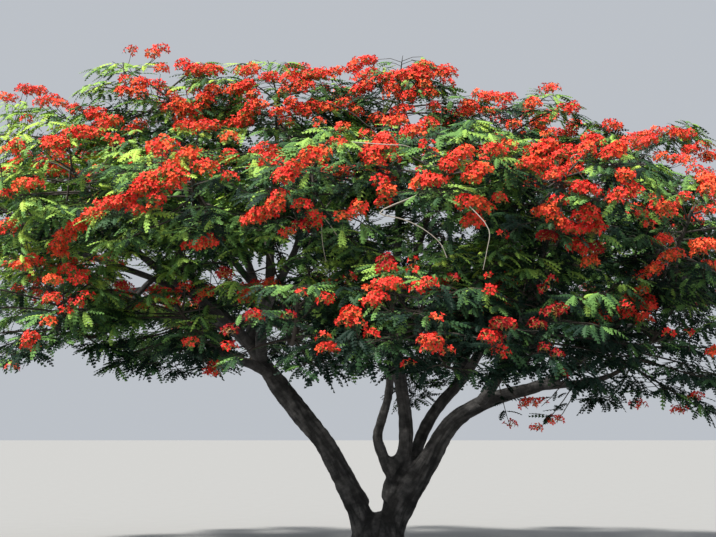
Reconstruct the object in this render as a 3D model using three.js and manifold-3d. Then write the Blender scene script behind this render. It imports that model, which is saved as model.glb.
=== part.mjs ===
import * as THREE from "three";
import Module from "manifold-3d";

// A flame tree in full flower, as wide as it is umbrella shaped. Sizes are millimetres.
// The foot of the trunk is centred on the origin and stands on z = 0. X runs along the broad side
// of the crown, west to east, and Y runs through the crown from its front to its rear.

const wasm = await Module();
wasm.setup();

const CLEARANCE = 0.3; // free gap where one solid meets the next
const CUT_BACK = 0.4; // how much a limb is swollen before it is cut out of its branch
const GOLDEN_TURN = Math.PI * (3 - Math.sqrt(5));
const UP = new THREE.Vector3(0, 0, 1);

const BARK = { color: 0x5a4c41, roughness: 0.93, metalness: 0 };
const FOLIAGE = { color: 0x3f6b22, roughness: 0.72, metalness: 0 };

// The bole: a round stem a little wider than deep, with low ribs that run down into the root flare.
const BOLE = {
  sides: 18,
  footRadius: 405,
  waistRadius: 345,
  waistHeight: 300,
  shoulderHeight: 460,
  shoulderRadius: 318,
  topHeight: 618,
  topRadius: 110,
  depthShare: 0.88,
  ribs: 6,
  ribDepth: 0.09,
  leanEast: 30,
};

// Limbs that show in full below the crown: named points of the axis, each x, y, z and the radius there.
// carries is the mass of leaves at the tip; the tip itself is worked out from that mass.
const MAIN_LIMBS = {
  west_limb: {
    carries: "centre_west_top",
    axis: [
      [-70, 0, 180, 215], [-224, 0, 615, 165], [-492, -10, 1157, 142], [-722, -20, 1547, 132],
      [-1145, -40, 2070, 146], [-1437, -60, 2464, 112], [-1650, -80, 2860, 92],
      [-1440, -120, 3450, 70], [-1400, -220, 4150, 52],
    ],
  },
  east_limb: {
    carries: "east_shoulder",
    axis: [
      [90, 0, 180, 215], [271, 0, 615, 172], [495, -10, 989, 158], [693, -20, 1313, 142],
      [860, -35, 1610, 128], [1077, -50, 1850, 115], [1514, -90, 2083, 98],
      [2215, -200, 2293, 74], [2880, -800, 2850, 54],
    ],
  },
  middle_limb: {
    cutBy: ["trunk", "east_limb"],
    carries: "crown_top",
    axis: [
      [150, 30, 520, 112], [196, 30, 1028, 104], [345, 0, 1340, 100], [380, -20, 1680, 96],
      [330, 20, 2160, 88], [230, 40, 3250, 64], [290, -80, 4400, 48],
    ],
  },
  inner_limb: {
    cutBy: ["middle_limb"],
    carries: "centre_front_east",
    axis: [
      [198, 20, 1030, 78], [77, -80, 1340, 76], [2, -95, 1580, 68], [60, -130, 1810, 62],
      [145, -230, 2120, 58], [170, -900, 2760, 50], [330, -1850, 3420, 40],
    ],
  },
  back_limb: {
    cutBy: ["east_limb"],
    carries: "east_high",
    axis: [
      [495, -10, 989, 92], [520, 190, 1391, 86], [749, 260, 1886, 82], [1201, 380, 2424, 74],
      [1500, 440, 2900, 64], [2150, 400, 3800, 50],
    ],
  },
  west_back_limb: {
    cutBy: ["west_limb"],
    carries: "rear_top_west",
    axis: [
      [-1145, -40, 2070, 104], [-1500, 260, 2560, 94], [-2150, 900, 3300, 74], [-2750, 1550, 4050, 54],
    ],
  },
};

// Side boughs: the limb each one leaves, how far along that limb, and the mass it carries.
const SIDE_BOUGHS = {
  west_peak_bough: ["west_limb", 0.74, "west_peak"],
  west_top_bough: ["west_peak_bough", 0.3, "west_top"],
  west_low_bough: ["west_limb", 0.63, "west_shoulder"],
  far_west_bough: ["west_low_bough", 0.4, "far_west_shoulder"],
  west_skirt_bough: ["west_low_bough", 0.62, "west_skirt"],
  west_inner_bough: ["west_limb", 0.53, "west_inner_skirt"],
  front_west_bough: ["west_limb", 0.585, "centre_front_west"],
  west_front_bough: ["front_west_bough", 0.36, "west_front"],
  front_west_skirt_bough: ["front_west_bough", 0.6, "front_west_skirt"],
  rear_west_bough: ["west_back_limb", 0.42, "rear_west"],
  rear_far_west_bough: ["west_back_limb", 0.62, "rear_far_west"],
  rear_bough: ["middle_limb", 0.56, "rear_top"],
  rear_centre_bough: ["rear_bough", 0.36, "rear_centre"],
  front_east_skirt_bough: ["inner_limb", 0.76, "front_east_skirt"],
  east_skirt_bough: ["east_limb", 0.74, "east_skirt"],
  east_front_bough: ["east_limb", 0.62, "east_front"],
  east_front_skirt_bough: ["east_front_bough", 0.5, "east_front_skirt"],
  far_east_bough: ["east_limb", 0.8, "far_east_shoulder"],
  east_top_bough: ["back_limb", 0.58, "east_top"],
  rear_top_east_bough: ["back_limb", 0.44, "rear_top_east"],
  rear_east_bough: ["rear_top_east_bough", 0.34, "rear_east"],
  rear_far_east_bough: ["back_limb", 0.68, "rear_far_east"],
};

// Masses of leaves: the middle of each, its half widths, its seed and its number of blossom heads.
const MASSES = {
  west_top: { at: [-4500, 600, 5540], spread: [1250, 1200, 800], seed: 11, bloom: 2 },
  west_peak: { at: [-2800, -400, 5900], spread: [1250, 1200, 820], seed: 12, bloom: 3 },
  centre_west_top: { at: [-1300, -400, 5850], spread: [1200, 1200, 800], seed: 13, bloom: 3 },
  crown_top: { at: [300, -200, 5950], spread: [1220, 1250, 850], seed: 14, bloom: 3 },
  east_top: { at: [1850, 0, 5560], spread: [1200, 1200, 800], seed: 15, bloom: 2 },
  east_high: { at: [3400, 200, 5250], spread: [1300, 1200, 850], seed: 16, bloom: 3 },
  far_west_shoulder: { at: [-5250, -500, 4600], spread: [1250, 1300, 900], seed: 21, bloom: 2 },
  west_shoulder: { at: [-3650, -2200, 4500], spread: [1250, 1200, 850], seed: 22, bloom: 3 },
  west_front: { at: [-2150, -3000, 4300], spread: [1250, 1250, 850], seed: 23, bloom: 3 },
  centre_front_west: { at: [-750, -3250, 4300], spread: [1200, 1250, 800], seed: 24, bloom: 2 },
  centre_front_east: { at: [650, -3250, 4350], spread: [1200, 1250, 850], seed: 25, bloom: 2 },
  east_front: { at: [2100, -2800, 4300], spread: [1250, 1250, 900], seed: 26, bloom: 3 },
  east_shoulder: { at: [3750, -1900, 4000], spread: [1250, 1200, 950], seed: 27, bloom: 3 },
  far_east_shoulder: { at: [4700, 400, 4150], spread: [1200, 1300, 950], seed: 28, bloom: 2 },
  west_skirt: { at: [-3900, -2000, 3100], spread: [1250, 1200, 800], seed: 31, bloom: 2 },
  west_inner_skirt: { at: [-2450, -1700, 2950], spread: [1100, 1150, 750], seed: 32, bloom: 1 },
  front_west_skirt: { at: [-900, -3300, 2900], spread: [1100, 1150, 750], seed: 33, bloom: 1 },
  front_east_skirt: { at: [450, -3700, 2850], spread: [1150, 1150, 750], seed: 34, bloom: 2 },
  east_front_skirt: { at: [1850, -2900, 2800], spread: [1200, 1150, 800], seed: 35, bloom: 1 },
  east_skirt: { at: [3400, -1500, 2600], spread: [1200, 1200, 850], seed: 36, bloom: 2 },
  rear_top_west: { at: [-3300, 2300, 5300], spread: [1300, 1250, 850], seed: 41, bloom: 2 },
  rear_top: { at: [-700, 2300, 5650], spread: [1300, 1250, 850], seed: 42, bloom: 2 },
  rear_top_east: { at: [1900, 2300, 5350], spread: [1300, 1250, 850], seed: 43, bloom: 2 },
  rear_far_west: { at: [-4900, 2200, 4000], spread: [1300, 1300, 900], seed: 44, bloom: 2 },
  rear_west: { at: [-3300, 4000, 3400], spread: [1300, 1250, 800], seed: 45, bloom: 2 },
  rear_centre: { at: [-700, 4300, 3500], spread: [1350, 1300, 800], seed: 46, bloom: 2 },
  rear_east: { at: [1900, 4100, 3400], spread: [1350, 1250, 800], seed: 47, bloom: 2 },
  rear_far_east: { at: [4050, 2700, 3750], spread: [1300, 1250, 900], seed: 48, bloom: 2 },
};

// Side boughs, the stems inside the masses, their twigs, sprays of leaves and heads of blossom.
const LIMB = { sides: 7, ringsPerSpan: 2 };
const BOUGH = { sides: 5, rings: 5, thickest: 78, tipRadius: 34, shareOfParent: 0.74, depthOfTip: 0.66 };
const STEM = { rings: 3, radius: 34, tipRadius: 30, topShare: 0.3 };
const TWIG = { count: 6, radius: 15, tipRadius: 14, firstAt: 0.3, lowest: -0.5, highest: 0.52, out: 0.5 };
const SPRAY = {
  longest: 960, shortest: 360, step: 60, widthShare: 0.64, thickShare: 0.042, widestAt: 0.38, sunk: 6,
  forks: [{ place: 0.8, turn: 0.95 }, { place: 0.5, turn: -0.95 }],
};
const BLOSSOM = { sides: 3, radius: 260, height: 170, stalkRadius: 7, reach: 0.93, shortestStalk: 60 };
const SPACE_MARGIN = 22; // each mass stays this far inside its own space
const LIMB_MARGIN = 85; // sprays stay this far from the bark of every limb
const SPRAY_GAP = 12; // sprays of one mass stay this far from each other

const point = (values) => new THREE.Vector3(values[0], values[1], values[2]);
const mix = (from, to, share) => from + (to - from) * share;

// Small seeded generator, so that the tree grows the same way every time.
function seededRandom(seed) {
  let state = seed * 7919 + 17;
  return () => {
    state = (Math.imul(state, 1664525) + 1013904223) >>> 0;
    return state / 4294967296;
  };
}

// Gives each station of a limb a pair of side directions that turn as little as possible on the way.
function withSideDirections(stations) {
  let side = Math.abs(stations[0].along.x) < 0.8 ? new THREE.Vector3(1, 0, 0) : new THREE.Vector3(0, 1, 0);
  for (const station of stations) {
    side = side.clone().addScaledVector(station.along, -side.dot(station.along)).normalize();
    station.side = side;
    station.across = new THREE.Vector3().crossVectors(station.along, side);
  }
  return stations;
}

// Stations through named points: the radius changes evenly from one named point to the next.
function stationsThrough(named, perSpan) {
  const curve = new THREE.CatmullRomCurve3(named.map(point), false, "centripetal");
  const spans = named.length - 1;
  const stations = [];
  for (let i = 0; i <= spans * perSpan; i += 1) {
    const place = i / perSpan;
    const before = Math.min(Math.floor(place), spans - 1);
    const radius = mix(named[before][3], named[before + 1][3], place - before);
    stations.push({ centre: curve.getPoint(place / spans), along: curve.getTangent(place / spans), radius });
  }
  return withSideDirections(stations);
}

// Stations along a curve that tapers evenly from its start to its end.
function stationsAlong(curve, count, startRadius, endRadius) {
  const stations = [];
  for (let i = 0; i < count; i += 1) {
    const share = i / (count - 1);
    const radius = mix(startRadius, endRadius, share);
    stations.push({ centre: curve.getPoint(share), along: curve.getTangent(share), radius });
  }
  return withSideDirections(stations);
}

function solidOf(geometry) {
  geometry.deleteAttribute("normal");
  geometry.deleteAttribute("uv");
  const merged = mergeByPlace(geometry);
  return new wasm.Manifold(new wasm.Mesh({ numProp: 3, vertProperties: merged.places, triVerts: merged.faces }));
}

// Joins the corners that lie in the same place and drops the faces that this folds away.
function mergeByPlace(geometry) {
  const position = geometry.getAttribute("position");
  const index = geometry.index ? geometry.index.array : [...Array(position.count).keys()];
  const known = new Map();
  const places = [];
  const corner = (i) => {
    const xyz = [position.getX(i), position.getY(i), position.getZ(i)];
    const key = xyz.map((value) => Math.round(value * 1000)).join(",");
    if (!known.has(key)) {
      known.set(key, known.size);
      places.push(...xyz);
    }
    return known.get(key);
  };
  const faces = [];
  for (let i = 0; i < index.length; i += 3) {
    const [a, b, c] = [corner(index[i]), corner(index[i + 1]), corner(index[i + 2])];
    if (a !== b && b !== c && c !== a) {
      faces.push(a, b, c);
    }
  }
  return { places: new Float32Array(places), faces: new Uint32Array(faces) };
}

// A cylinder bent along the stations, with flat ends; swell makes it thicker all round. A station
// with a width and a height of its own is pressed flat there, and one without radius is a point.
function limbSolid(stations, sides, swell = 0) {
  const geometry = new THREE.CylinderGeometry(1, 1, 1, sides, stations.length - 1);
  const position = geometry.getAttribute("position");
  for (let i = 0; i < position.count; i += 1) {
    const number = Math.round((position.getY(i) + 0.5) * (stations.length - 1));
    const station = stations[number];
    const beyondEnd = (number === stations.length - 1) - (number === 0);
    const place = station.centre.clone().addScaledVector(station.along, beyondEnd * swell)
      .addScaledVector(station.across, position.getX(i) * ((station.wide ?? station.radius) + swell))
      .addScaledVector(station.side, position.getZ(i) * ((station.high ?? station.radius) + swell));
    position.setXYZ(i, place.x, place.y, place.z);
  }
  return solidOf(geometry);
}

// The bole is turned from a profile, then pressed oval, ribbed towards the foot and leaned east.
function boleSolid(swell = 0) {
  const profile = [
    [0, 0], [BOLE.footRadius, 0], [mix(BOLE.footRadius, BOLE.waistRadius, 0.5), 80],
    [mix(BOLE.footRadius, BOLE.waistRadius, 0.85), 180], [BOLE.waistRadius, BOLE.waistHeight],
    [BOLE.shoulderRadius, BOLE.shoulderHeight], [BOLE.topRadius, BOLE.topHeight], [0, BOLE.topHeight],
  ];
  const points = profile.map(([radius, height]) => {
    return new THREE.Vector2(radius && radius + swell, height && height + swell);
  });
  const geometry = new THREE.LatheGeometry(points, BOLE.sides);
  geometry.rotateX(Math.PI / 2);
  const position = geometry.getAttribute("position");
  for (let i = 0; i < position.count; i += 1) {
    const height = position.getZ(i);
    const turn = Math.atan2(position.getY(i), position.getX(i));
    const flare = Math.max(0, 1 - height / BOLE.shoulderHeight);
    const rib = 1 + BOLE.ribDepth * flare * Math.cos(BOLE.ribs * turn + 0.6);
    const lean = BOLE.leanEast * (height / BOLE.topHeight);
    position.setXYZ(i, position.getX(i) * rib + lean, position.getY(i) * rib * BOLE.depthShare, height);
  }
  return solidOf(geometry);
}

// The outermost body of a solid: loose scraps go and sealed hollows are filled.
function soundBody(solid) {
  const bodies = solid.decompose().filter((body) => body.volume() > 0);
  bodies.sort((one, other) => other.volume() - one.volume());
  return bodies[0];
}

// How far a point is inside the space of a mass: an oval body cut off halfway to its neighbours.
function insideSpace(name, place, margin) {
  const { at, spread } = MASSES[name];
  const shell = [0, 1, 2].reduce((sum, k) => {
    return sum + ((place.getComponent(k) - at[k]) / (spread[k] - margin)) ** 2;
  }, 0);
  return shell <= 1 && place.z > 0 && walls[name].every(({ middle, away }) => {
    return place.clone().sub(middle).dot(away) <= -margin;
  });
}

const walls = {};
for (const name of Object.keys(MASSES)) {
  const here = point(MASSES[name].at);
  walls[name] = Object.keys(MASSES).filter((other) => other !== name).map((other) => {
    const there = point(MASSES[other].at);
    return { middle: here.clone().lerp(there, 0.5), away: there.clone().sub(here).normalize() };
  });
}

// The tip of a bough: a little way inside its mass, on the line from where the bough comes.
function tipFor(massName, comingFrom) {
  const { at, spread } = MASSES[massName];
  const centre = point(at);
  const below = comingFrom.clone().sub(centre);
  below.z = Math.min(below.z, -0.35 * below.length());
  const scaled = Math.hypot(below.x / spread[0], below.y / spread[1], below.z / spread[2]);
  return centre.addScaledVector(below, BOUGH.depthOfTip / scaled);
}

const limbs = {};

for (const [name, limb] of Object.entries(MAIN_LIMBS)) {
  const last = point(limb.axis[limb.axis.length - 1]);
  const tip = tipFor(limb.carries, last);
  const named = [...limb.axis, [tip.x, tip.y, tip.z, BOUGH.tipRadius]];
  const stations = stationsThrough(named, LIMB.ringsPerSpan);
  limbs[name] = { stations, sides: LIMB.sides, carries: limb.carries, cutBy: limb.cutBy ?? [] };
}

for (const [name, [parentName, share, massName]] of Object.entries(SIDE_BOUGHS)) {
  const parent = limbs[parentName].stations;
  const place = share * (parent.length - 1);
  const before = parent[Math.floor(place)];
  const after = parent[Math.ceil(place)];
  const start = before.centre.clone().lerp(after.centre, place - Math.floor(place));
  const parentRadius = mix(before.radius, after.radius, place - Math.floor(place));
  const tip = tipFor(massName, start);
  const span = tip.clone().sub(start);
  const length = span.length();
  const leave = span.clone().normalize().addScaledVector(before.along, 0.55).normalize();
  const arrive = span.clone().normalize().addScaledVector(UP, 0.25).normalize();
  const curve = new THREE.CubicBezierCurve3(
    start, start.clone().addScaledVector(leave, length * 0.36),
    tip.clone().addScaledVector(arrive, -length * 0.3), tip,
  );
  const radius = Math.min(BOUGH.thickest, parentRadius * BOUGH.shareOfParent);
  const stations = stationsAlong(curve, BOUGH.rings, radius, BOUGH.tipRadius);
  limbs[name] = { stations, sides: BOUGH.sides, carries: massName, cutBy: [parentName] };
}

// The two great limbs start on the trunk: their first stations belong to it.
const ON_TRUNK = 3;
const solids = {};
const swollen = {};

function trunkSolid(swell) {
  const roots = ["west_limb", "east_limb"].map((name) => {
    return limbSolid(limbs[name].stations.slice(0, ON_TRUNK), LIMB.sides, swell);
  });
  return wasm.Manifold.union([boleSolid(swell), ...roots]);
}

solids.trunk = soundBody(trunkSolid(0));
swollen.trunk = trunkSolid(CUT_BACK);

for (const [name, limb] of Object.entries(limbs)) {
  let stations = limb.stations;
  if (limb.cutBy.length === 0) {
    stations = stations.slice(ON_TRUNK - 1);
    const first = stations[0];
    stations[0] = { ...first, centre: first.centre.clone().addScaledVector(first.along, CLEARANCE) };
  }
  let solid = limbSolid(stations, limb.sides);
  for (const other of limb.cutBy) {
    solid = solid.subtract(swollen[other]);
  }
  solids[name] = soundBody(solid);
  swollen[name] = limbSolid(stations, limb.sides, CUT_BACK);
}

// Distance from a place to the bark of the nearest limb.
function distanceToBark(place) {
  let nearest = Infinity;
  for (const { stations } of Object.values(limbs)) {
    for (let i = 1; i < stations.length; i += 1) {
      const segment = new THREE.Line3(stations[i - 1].centre, stations[i].centre);
      const closest = segment.closestPointToPoint(place, true, new THREE.Vector3());
      const radius = Math.max(stations[i - 1].radius, stations[i].radius);
      nearest = Math.min(nearest, closest.distanceTo(place) - radius);
    }
  }
  return nearest;
}

// Stations of a spray of leaves: a three-sided blade, widest near its middle, that ends in a point.
function sprayStations(root, direction, roll, length) {
  const across = new THREE.Vector3().crossVectors(direction, UP).normalize().applyAxisAngle(direction, roll);
  const side = new THREE.Vector3().crossVectors(across, direction);
  const at = (share) => root.clone().addScaledVector(direction, length * share);
  const wide = length * SPRAY.widthShare / 2 / Math.cos(Math.PI / 6);
  const high = length * SPRAY.thickShare / 1.5;
  return [
    { centre: at(SPRAY.widestAt), along: direction, side, across, wide, high },
    { centre: at(1), along: direction, side, across, radius: 0 },
  ];
}

// The longest spray that stays in the space of its mass and clear of limbs and of other sprays.
function longestSpray(name, start, direction, roll, others) {
  const root = start[start.length - 1].centre;
  for (let length = SPRAY.longest; length >= SPRAY.shortest; length -= SPRAY.step) {
    const [middle, end] = sprayStations(root, direction, roll, length);
    const samples = [end.centre];
    for (const [share, part] of [[0.25, 0.6], [0.42, 1], [0.62, 0.66], [0.8, 0.34]]) {
      const here = root.clone().addScaledVector(direction, length * share);
      for (const sideways of [-1, 0, 1]) {
        samples.push(here.clone().addScaledVector(middle.across, sideways * part * middle.wide * 0.87));
      }
    }
    const inSpace = samples.every((sample) => insideSpace(name, sample, SPACE_MARGIN));
    if (inSpace && samples.every((sample) => distanceToBark(sample) > LIMB_MARGIN)) {
      const solid = limbSolid([...start, middle, end], 3);
      if (others.every((other) => other.minGap(solid, SPRAY_GAP) >= SPRAY_GAP)) {
        return solid;
      }
    }
  }
  return null;
}

// The place on a run of stations, counted in spans from its start.
function placeOn(stations, place) {
  const span = Math.min(Math.floor(place), stations.length - 2);
  return stations[span].centre.clone().lerp(stations[span + 1].centre, place - span);
}

// A level heading tipped up or, with a negative angle, down.
function tilted(heading, angle) {
  return heading.clone().multiplyScalar(Math.cos(angle)).addScaledVector(UP, Math.sin(angle));
}

function twigIsFree(name, stations) {
  return stations.slice(1).every(({ centre, radius }) => {
    return insideSpace(name, centre, SPACE_MARGIN + radius) && distanceToBark(centre) > LIMB_MARGIN;
  });
}

// Upright side directions, so that the blade at the end of a twig lies flat.
function upright(stations) {
  for (const station of stations) {
    station.across = new THREE.Vector3().crossVectors(station.along, UP).normalize();
    station.side = new THREE.Vector3().crossVectors(station.across, station.along);
  }
  return stations;
}

// One mass: a stem from the bough's tip, twigs round it by the golden angle, sprays along each twig
// and heads of blossom on stalks above the highest twigs.
function growMass(name, bough) {
  const { at, spread, seed, bloom } = MASSES[name];
  const random = seededRandom(seed);
  const centre = point(at);
  const tip = bough.stations[bough.stations.length - 1];
  const root = tip.centre.clone().addScaledVector(tip.along, CLEARANCE);
  const top = centre.clone().addScaledVector(UP, spread[2] * STEM.topShare);
  const bend = root.clone().addScaledVector(tip.along, root.distanceTo(top) * 0.5);
  const stem = new THREE.QuadraticBezierCurve3(root, bend, top);
  const stemStations = stationsAlong(stem, STEM.rings, STEM.radius, STEM.tipRadius);
  const stemSolid = limbSolid(stemStations, 3);
  const firstTurn = random() * Math.PI * 2;
  const twigs = [];

  for (let i = 0; i < TWIG.count; i += 1) {
    const share = (i + 0.5) / TWIG.count;
    const start = placeOn(stemStations, mix(TWIG.firstAt, 1, share) * (STEM.rings - 1));
    const turn = firstTurn + i * GOLDEN_TURN + (random() - 0.5) * 0.5;
    const rise = mix(TWIG.lowest, TWIG.highest, share);
    const out = TWIG.out * Math.sqrt(1 - rise * rise);
    const droop = mix(-0.6, 0.05, share) + (random() - 0.5) * 0.4;
    const roll = (random() - 0.5) * 0.8;
    const aim = new THREE.Vector3(
      Math.cos(turn) * out * spread[0], Math.sin(turn) * out * spread[1], rise * spread[2],
    ).add(centre);
    for (let reach = 1; reach > 0.45; reach -= 0.1) {
      const line = new THREE.LineCurve3(start, start.clone().lerp(aim, reach));
      const stations = upright(stationsAlong(line, 2, TWIG.radius, TWIG.tipRadius));
      if (twigIsFree(name, stations)) {
        const heading = aim.clone().sub(start).setZ(0).normalize();
        const direction = tilted(heading, droop);
        const others = twigs.map((twig) => twig.solid);
        const solid = longestSpray(name, stations, direction, roll, others);
        if (solid) {
          twigs.push({ solid, stations, heading, droop });
          break;
        }
      }
    }
  }

  const leaves = [];
  for (const twig of twigs) {
    for (const { place, turn } of SPRAY.forks) {
      const droop = twig.droop - 0.1 + (random() - 0.5) * 0.4;
      const direction = tilted(twig.heading.clone().applyAxisAngle(UP, turn), droop);
      const sunk = placeOn(twig.stations, place).addScaledVector(direction, -SPRAY.sunk);
      const start = upright([{ centre: sunk, along: direction, radius: 0 }]);
      const others = [...twigs.filter((other) => other !== twig).map((other) => other.solid), ...leaves];
      const leaf = longestSpray(name, start, direction, (random() - 0.5) * 0.8, [stemSolid, ...others]);
      if (leaf) {
        leaves.push(leaf);
      }
    }
  }

  const heads = [];
  for (const twig of twigs.slice(-bloom)) {
    const base = placeOn(twig.stations, 0.65);
    const aim = base.clone().addScaledVector(base.clone().sub(centre).setZ(0), 0.3);
    const room = 1 - ((aim.x - at[0]) / spread[0]) ** 2 - ((aim.y - at[1]) / spread[1]) ** 2;
    aim.z = at[2] + spread[2] * BLOSSOM.reach * Math.sqrt(Math.max(room, 0)) - BLOSSOM.height;
    if (aim.z - base.z > BLOSSOM.shortestStalk) {
      const head = blossomHead(base, aim);
      const edges = head.stations.filter((station) => station.radius > BLOSSOM.stalkRadius);
      const free = edges.every((edge) => [-1, 1].every((way) => ["side", "across"].every((axis) => {
        const rim = edge.centre.clone().addScaledVector(edge[axis], way * edge.radius);
        return insideSpace(name, rim, SPACE_MARGIN) && distanceToBark(rim) > LIMB_MARGIN;
      })));
      const others = [...twigs.filter((other) => other !== twig).map((other) => other.solid), ...leaves];
      if (free && others.every((other) => other.minGap(head.solid, SPRAY_GAP) >= SPRAY_GAP)) {
        heads.push(head.solid);
      }
    }
  }
  return soundBody(wasm.Manifold.union([stemSolid, ...twigs.map((twig) => twig.solid), ...leaves, ...heads]));
}

// A head of blossom: a stalk that spreads into a three-sided head and closes to a point.
function blossomHead(base, aim) {
  const stalk = aim.clone().sub(base).normalize();
  const level = (height, radius) => {
    return { centre: aim.clone().addScaledVector(UP, height * BLOSSOM.height), along: UP, radius };
  };
  const stations = withSideDirections([
    { centre: base, along: stalk, radius: BLOSSOM.stalkRadius },
    level(-0.45, BLOSSOM.stalkRadius), level(0, BLOSSOM.radius), level(0.55, 0),
  ]);
  return { stations, solid: limbSolid(stations, BLOSSOM.sides) };
}

for (const bough of Object.values(limbs)) {
  solids[`${bough.carries}_foliage`] = growMass(bough.carries, bough);
}

function meshOf(name, solid, look) {
  const { vertProperties, triVerts } = solid.getMesh();
  const geometry = new THREE.BufferGeometry();
  geometry.setAttribute("position", new THREE.BufferAttribute(new Float32Array(vertProperties), 3));
  geometry.setIndex(new THREE.BufferAttribute(new Uint32Array(triVerts), 1));
  geometry.computeVertexNormals();
  const mesh = new THREE.Mesh(geometry, new THREE.MeshStandardMaterial(look));
  mesh.name = name;
  return mesh;
}

const tree = new THREE.Group();
tree.name = "flame_tree";
for (const [name, solid] of Object.entries(solids)) {
  tree.add(meshOf(name, solid, name.endsWith("_foliage") ? FOLIAGE : BARK));
}

export default tree;
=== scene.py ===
import math

import bmesh
import bpy
import numpy as np
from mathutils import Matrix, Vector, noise
from mathutils.kdtree import KDTree


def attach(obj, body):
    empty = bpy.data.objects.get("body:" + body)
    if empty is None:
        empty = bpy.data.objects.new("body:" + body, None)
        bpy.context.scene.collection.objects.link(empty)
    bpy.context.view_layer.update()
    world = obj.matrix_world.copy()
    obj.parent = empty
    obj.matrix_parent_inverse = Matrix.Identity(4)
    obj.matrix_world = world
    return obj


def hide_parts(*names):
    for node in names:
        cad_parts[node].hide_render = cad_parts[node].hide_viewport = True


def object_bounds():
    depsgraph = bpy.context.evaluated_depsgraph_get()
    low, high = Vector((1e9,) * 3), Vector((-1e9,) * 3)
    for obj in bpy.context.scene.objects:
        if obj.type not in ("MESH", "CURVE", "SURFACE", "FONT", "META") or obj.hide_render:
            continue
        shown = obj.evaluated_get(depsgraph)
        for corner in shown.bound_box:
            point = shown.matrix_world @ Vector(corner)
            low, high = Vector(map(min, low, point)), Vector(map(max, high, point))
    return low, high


# A flame tree in full flower. Sizes are metres except in the tables of the growth rule, which are the
# solids' own and stay in millimetres. X runs west to east along the broad side of the crown, and the
# front of the crown looks towards -Y.

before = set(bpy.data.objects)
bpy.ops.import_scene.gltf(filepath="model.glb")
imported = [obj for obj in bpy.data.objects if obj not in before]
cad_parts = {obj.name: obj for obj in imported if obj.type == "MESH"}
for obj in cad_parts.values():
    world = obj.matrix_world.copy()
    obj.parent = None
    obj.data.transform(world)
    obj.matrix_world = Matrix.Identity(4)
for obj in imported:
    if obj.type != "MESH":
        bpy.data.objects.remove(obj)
cadLow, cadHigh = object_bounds()
mm = 0.001
upward = np.array([0.0, 0.0, 1.0])
goldenTurn = math.pi * (3 - math.sqrt(5))
print("frame loaded")


# Small helpers

def mix(low, high, share):
    return low + (high - low) * share


def unit(vector):
    vector = np.asarray(vector, float)
    return vector / np.maximum(np.linalg.norm(vector, axis=-1, keepdims=True), 1e-9)


# which way a vector points over the ground
def levelUnit(vector):
    return unit(vector * (1, 1, 0))


# the same small generator as the solids use, so that both grow the same twigs
def seededRandom(seed):
    state = seed * 7919 + 17

    def draw():
        nonlocal state
        state = (state * 1664525 + 1013904223) & 0xFFFFFFFF
        return state / 4294967296

    return draw


# three draws, each from -0.5 to 0.5
def drawThree(random):
    return np.array([random(), random(), random()]) - 0.5


def finderOf(places):
    finder = KDTree(len(places))
    for number, place in enumerate(places):
        finder.insert(place, number)
    finder.balance()
    return finder


def newObject(name, mesh):
    made = bpy.data.objects.new(name, mesh)
    bpy.context.scene.collection.objects.link(made)
    return made


def meshObject(name, places, faces=(), edges=()):
    mesh = bpy.data.meshes.new(name)
    mesh.from_pydata([tuple(p) for p in places], [tuple(e) for e in edges], [tuple(f) for f in faces])
    mesh.update()
    return newObject(name, mesh)


# one value, or one row of values, for each corner, edge or face corner of a mesh
def readMesh(things, field, width, kind=float):
    values = np.empty(len(things) * width, kind)
    things.foreach_get(field, values)
    return values.reshape(-1, width)


def addAttribute(mesh, name, kind, values):
    made = mesh.attributes.new(name, kind, "POINT")
    field = "vector" if kind == "FLOAT_VECTOR" else "value"
    made.data.foreach_set(field, np.asarray(values, int if kind == "INT" else float).ravel())


# a node of any tree: values are plain numbers or sockets to link from
def addNode(tree, kind, values=None, **settings):
    made = tree.nodes.new(kind)
    for name, value in settings.items():
        setattr(made, name, value)
    for name, value in (values or {}).items():
        if isinstance(value, bpy.types.NodeSocket):
            tree.links.new(value, made.inputs[name])
        else:
            made.inputs[name].default_value = value
    return made


# the first output of a new node
def outOf(tree, kind, values=None, **settings):
    return addNode(tree, kind, values, **settings).outputs[0]


def maths(tree, operation, first, second):
    return outOf(tree, "ShaderNodeMath", {0: first, 1: second}, operation=operation)


# The growth rule, as in the solids: limbs, side boughs and masses of leaves

bole = {
    "footRadius": 405, "waistRadius": 345, "waistHeight": 300, "shoulderHeight": 460,
    "shoulderRadius": 318, "topHeight": 618, "topRadius": 110, "depthShare": 0.88,
    "ribs": 6, "ribDepth": 0.09, "leanEast": 30,
}

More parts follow.
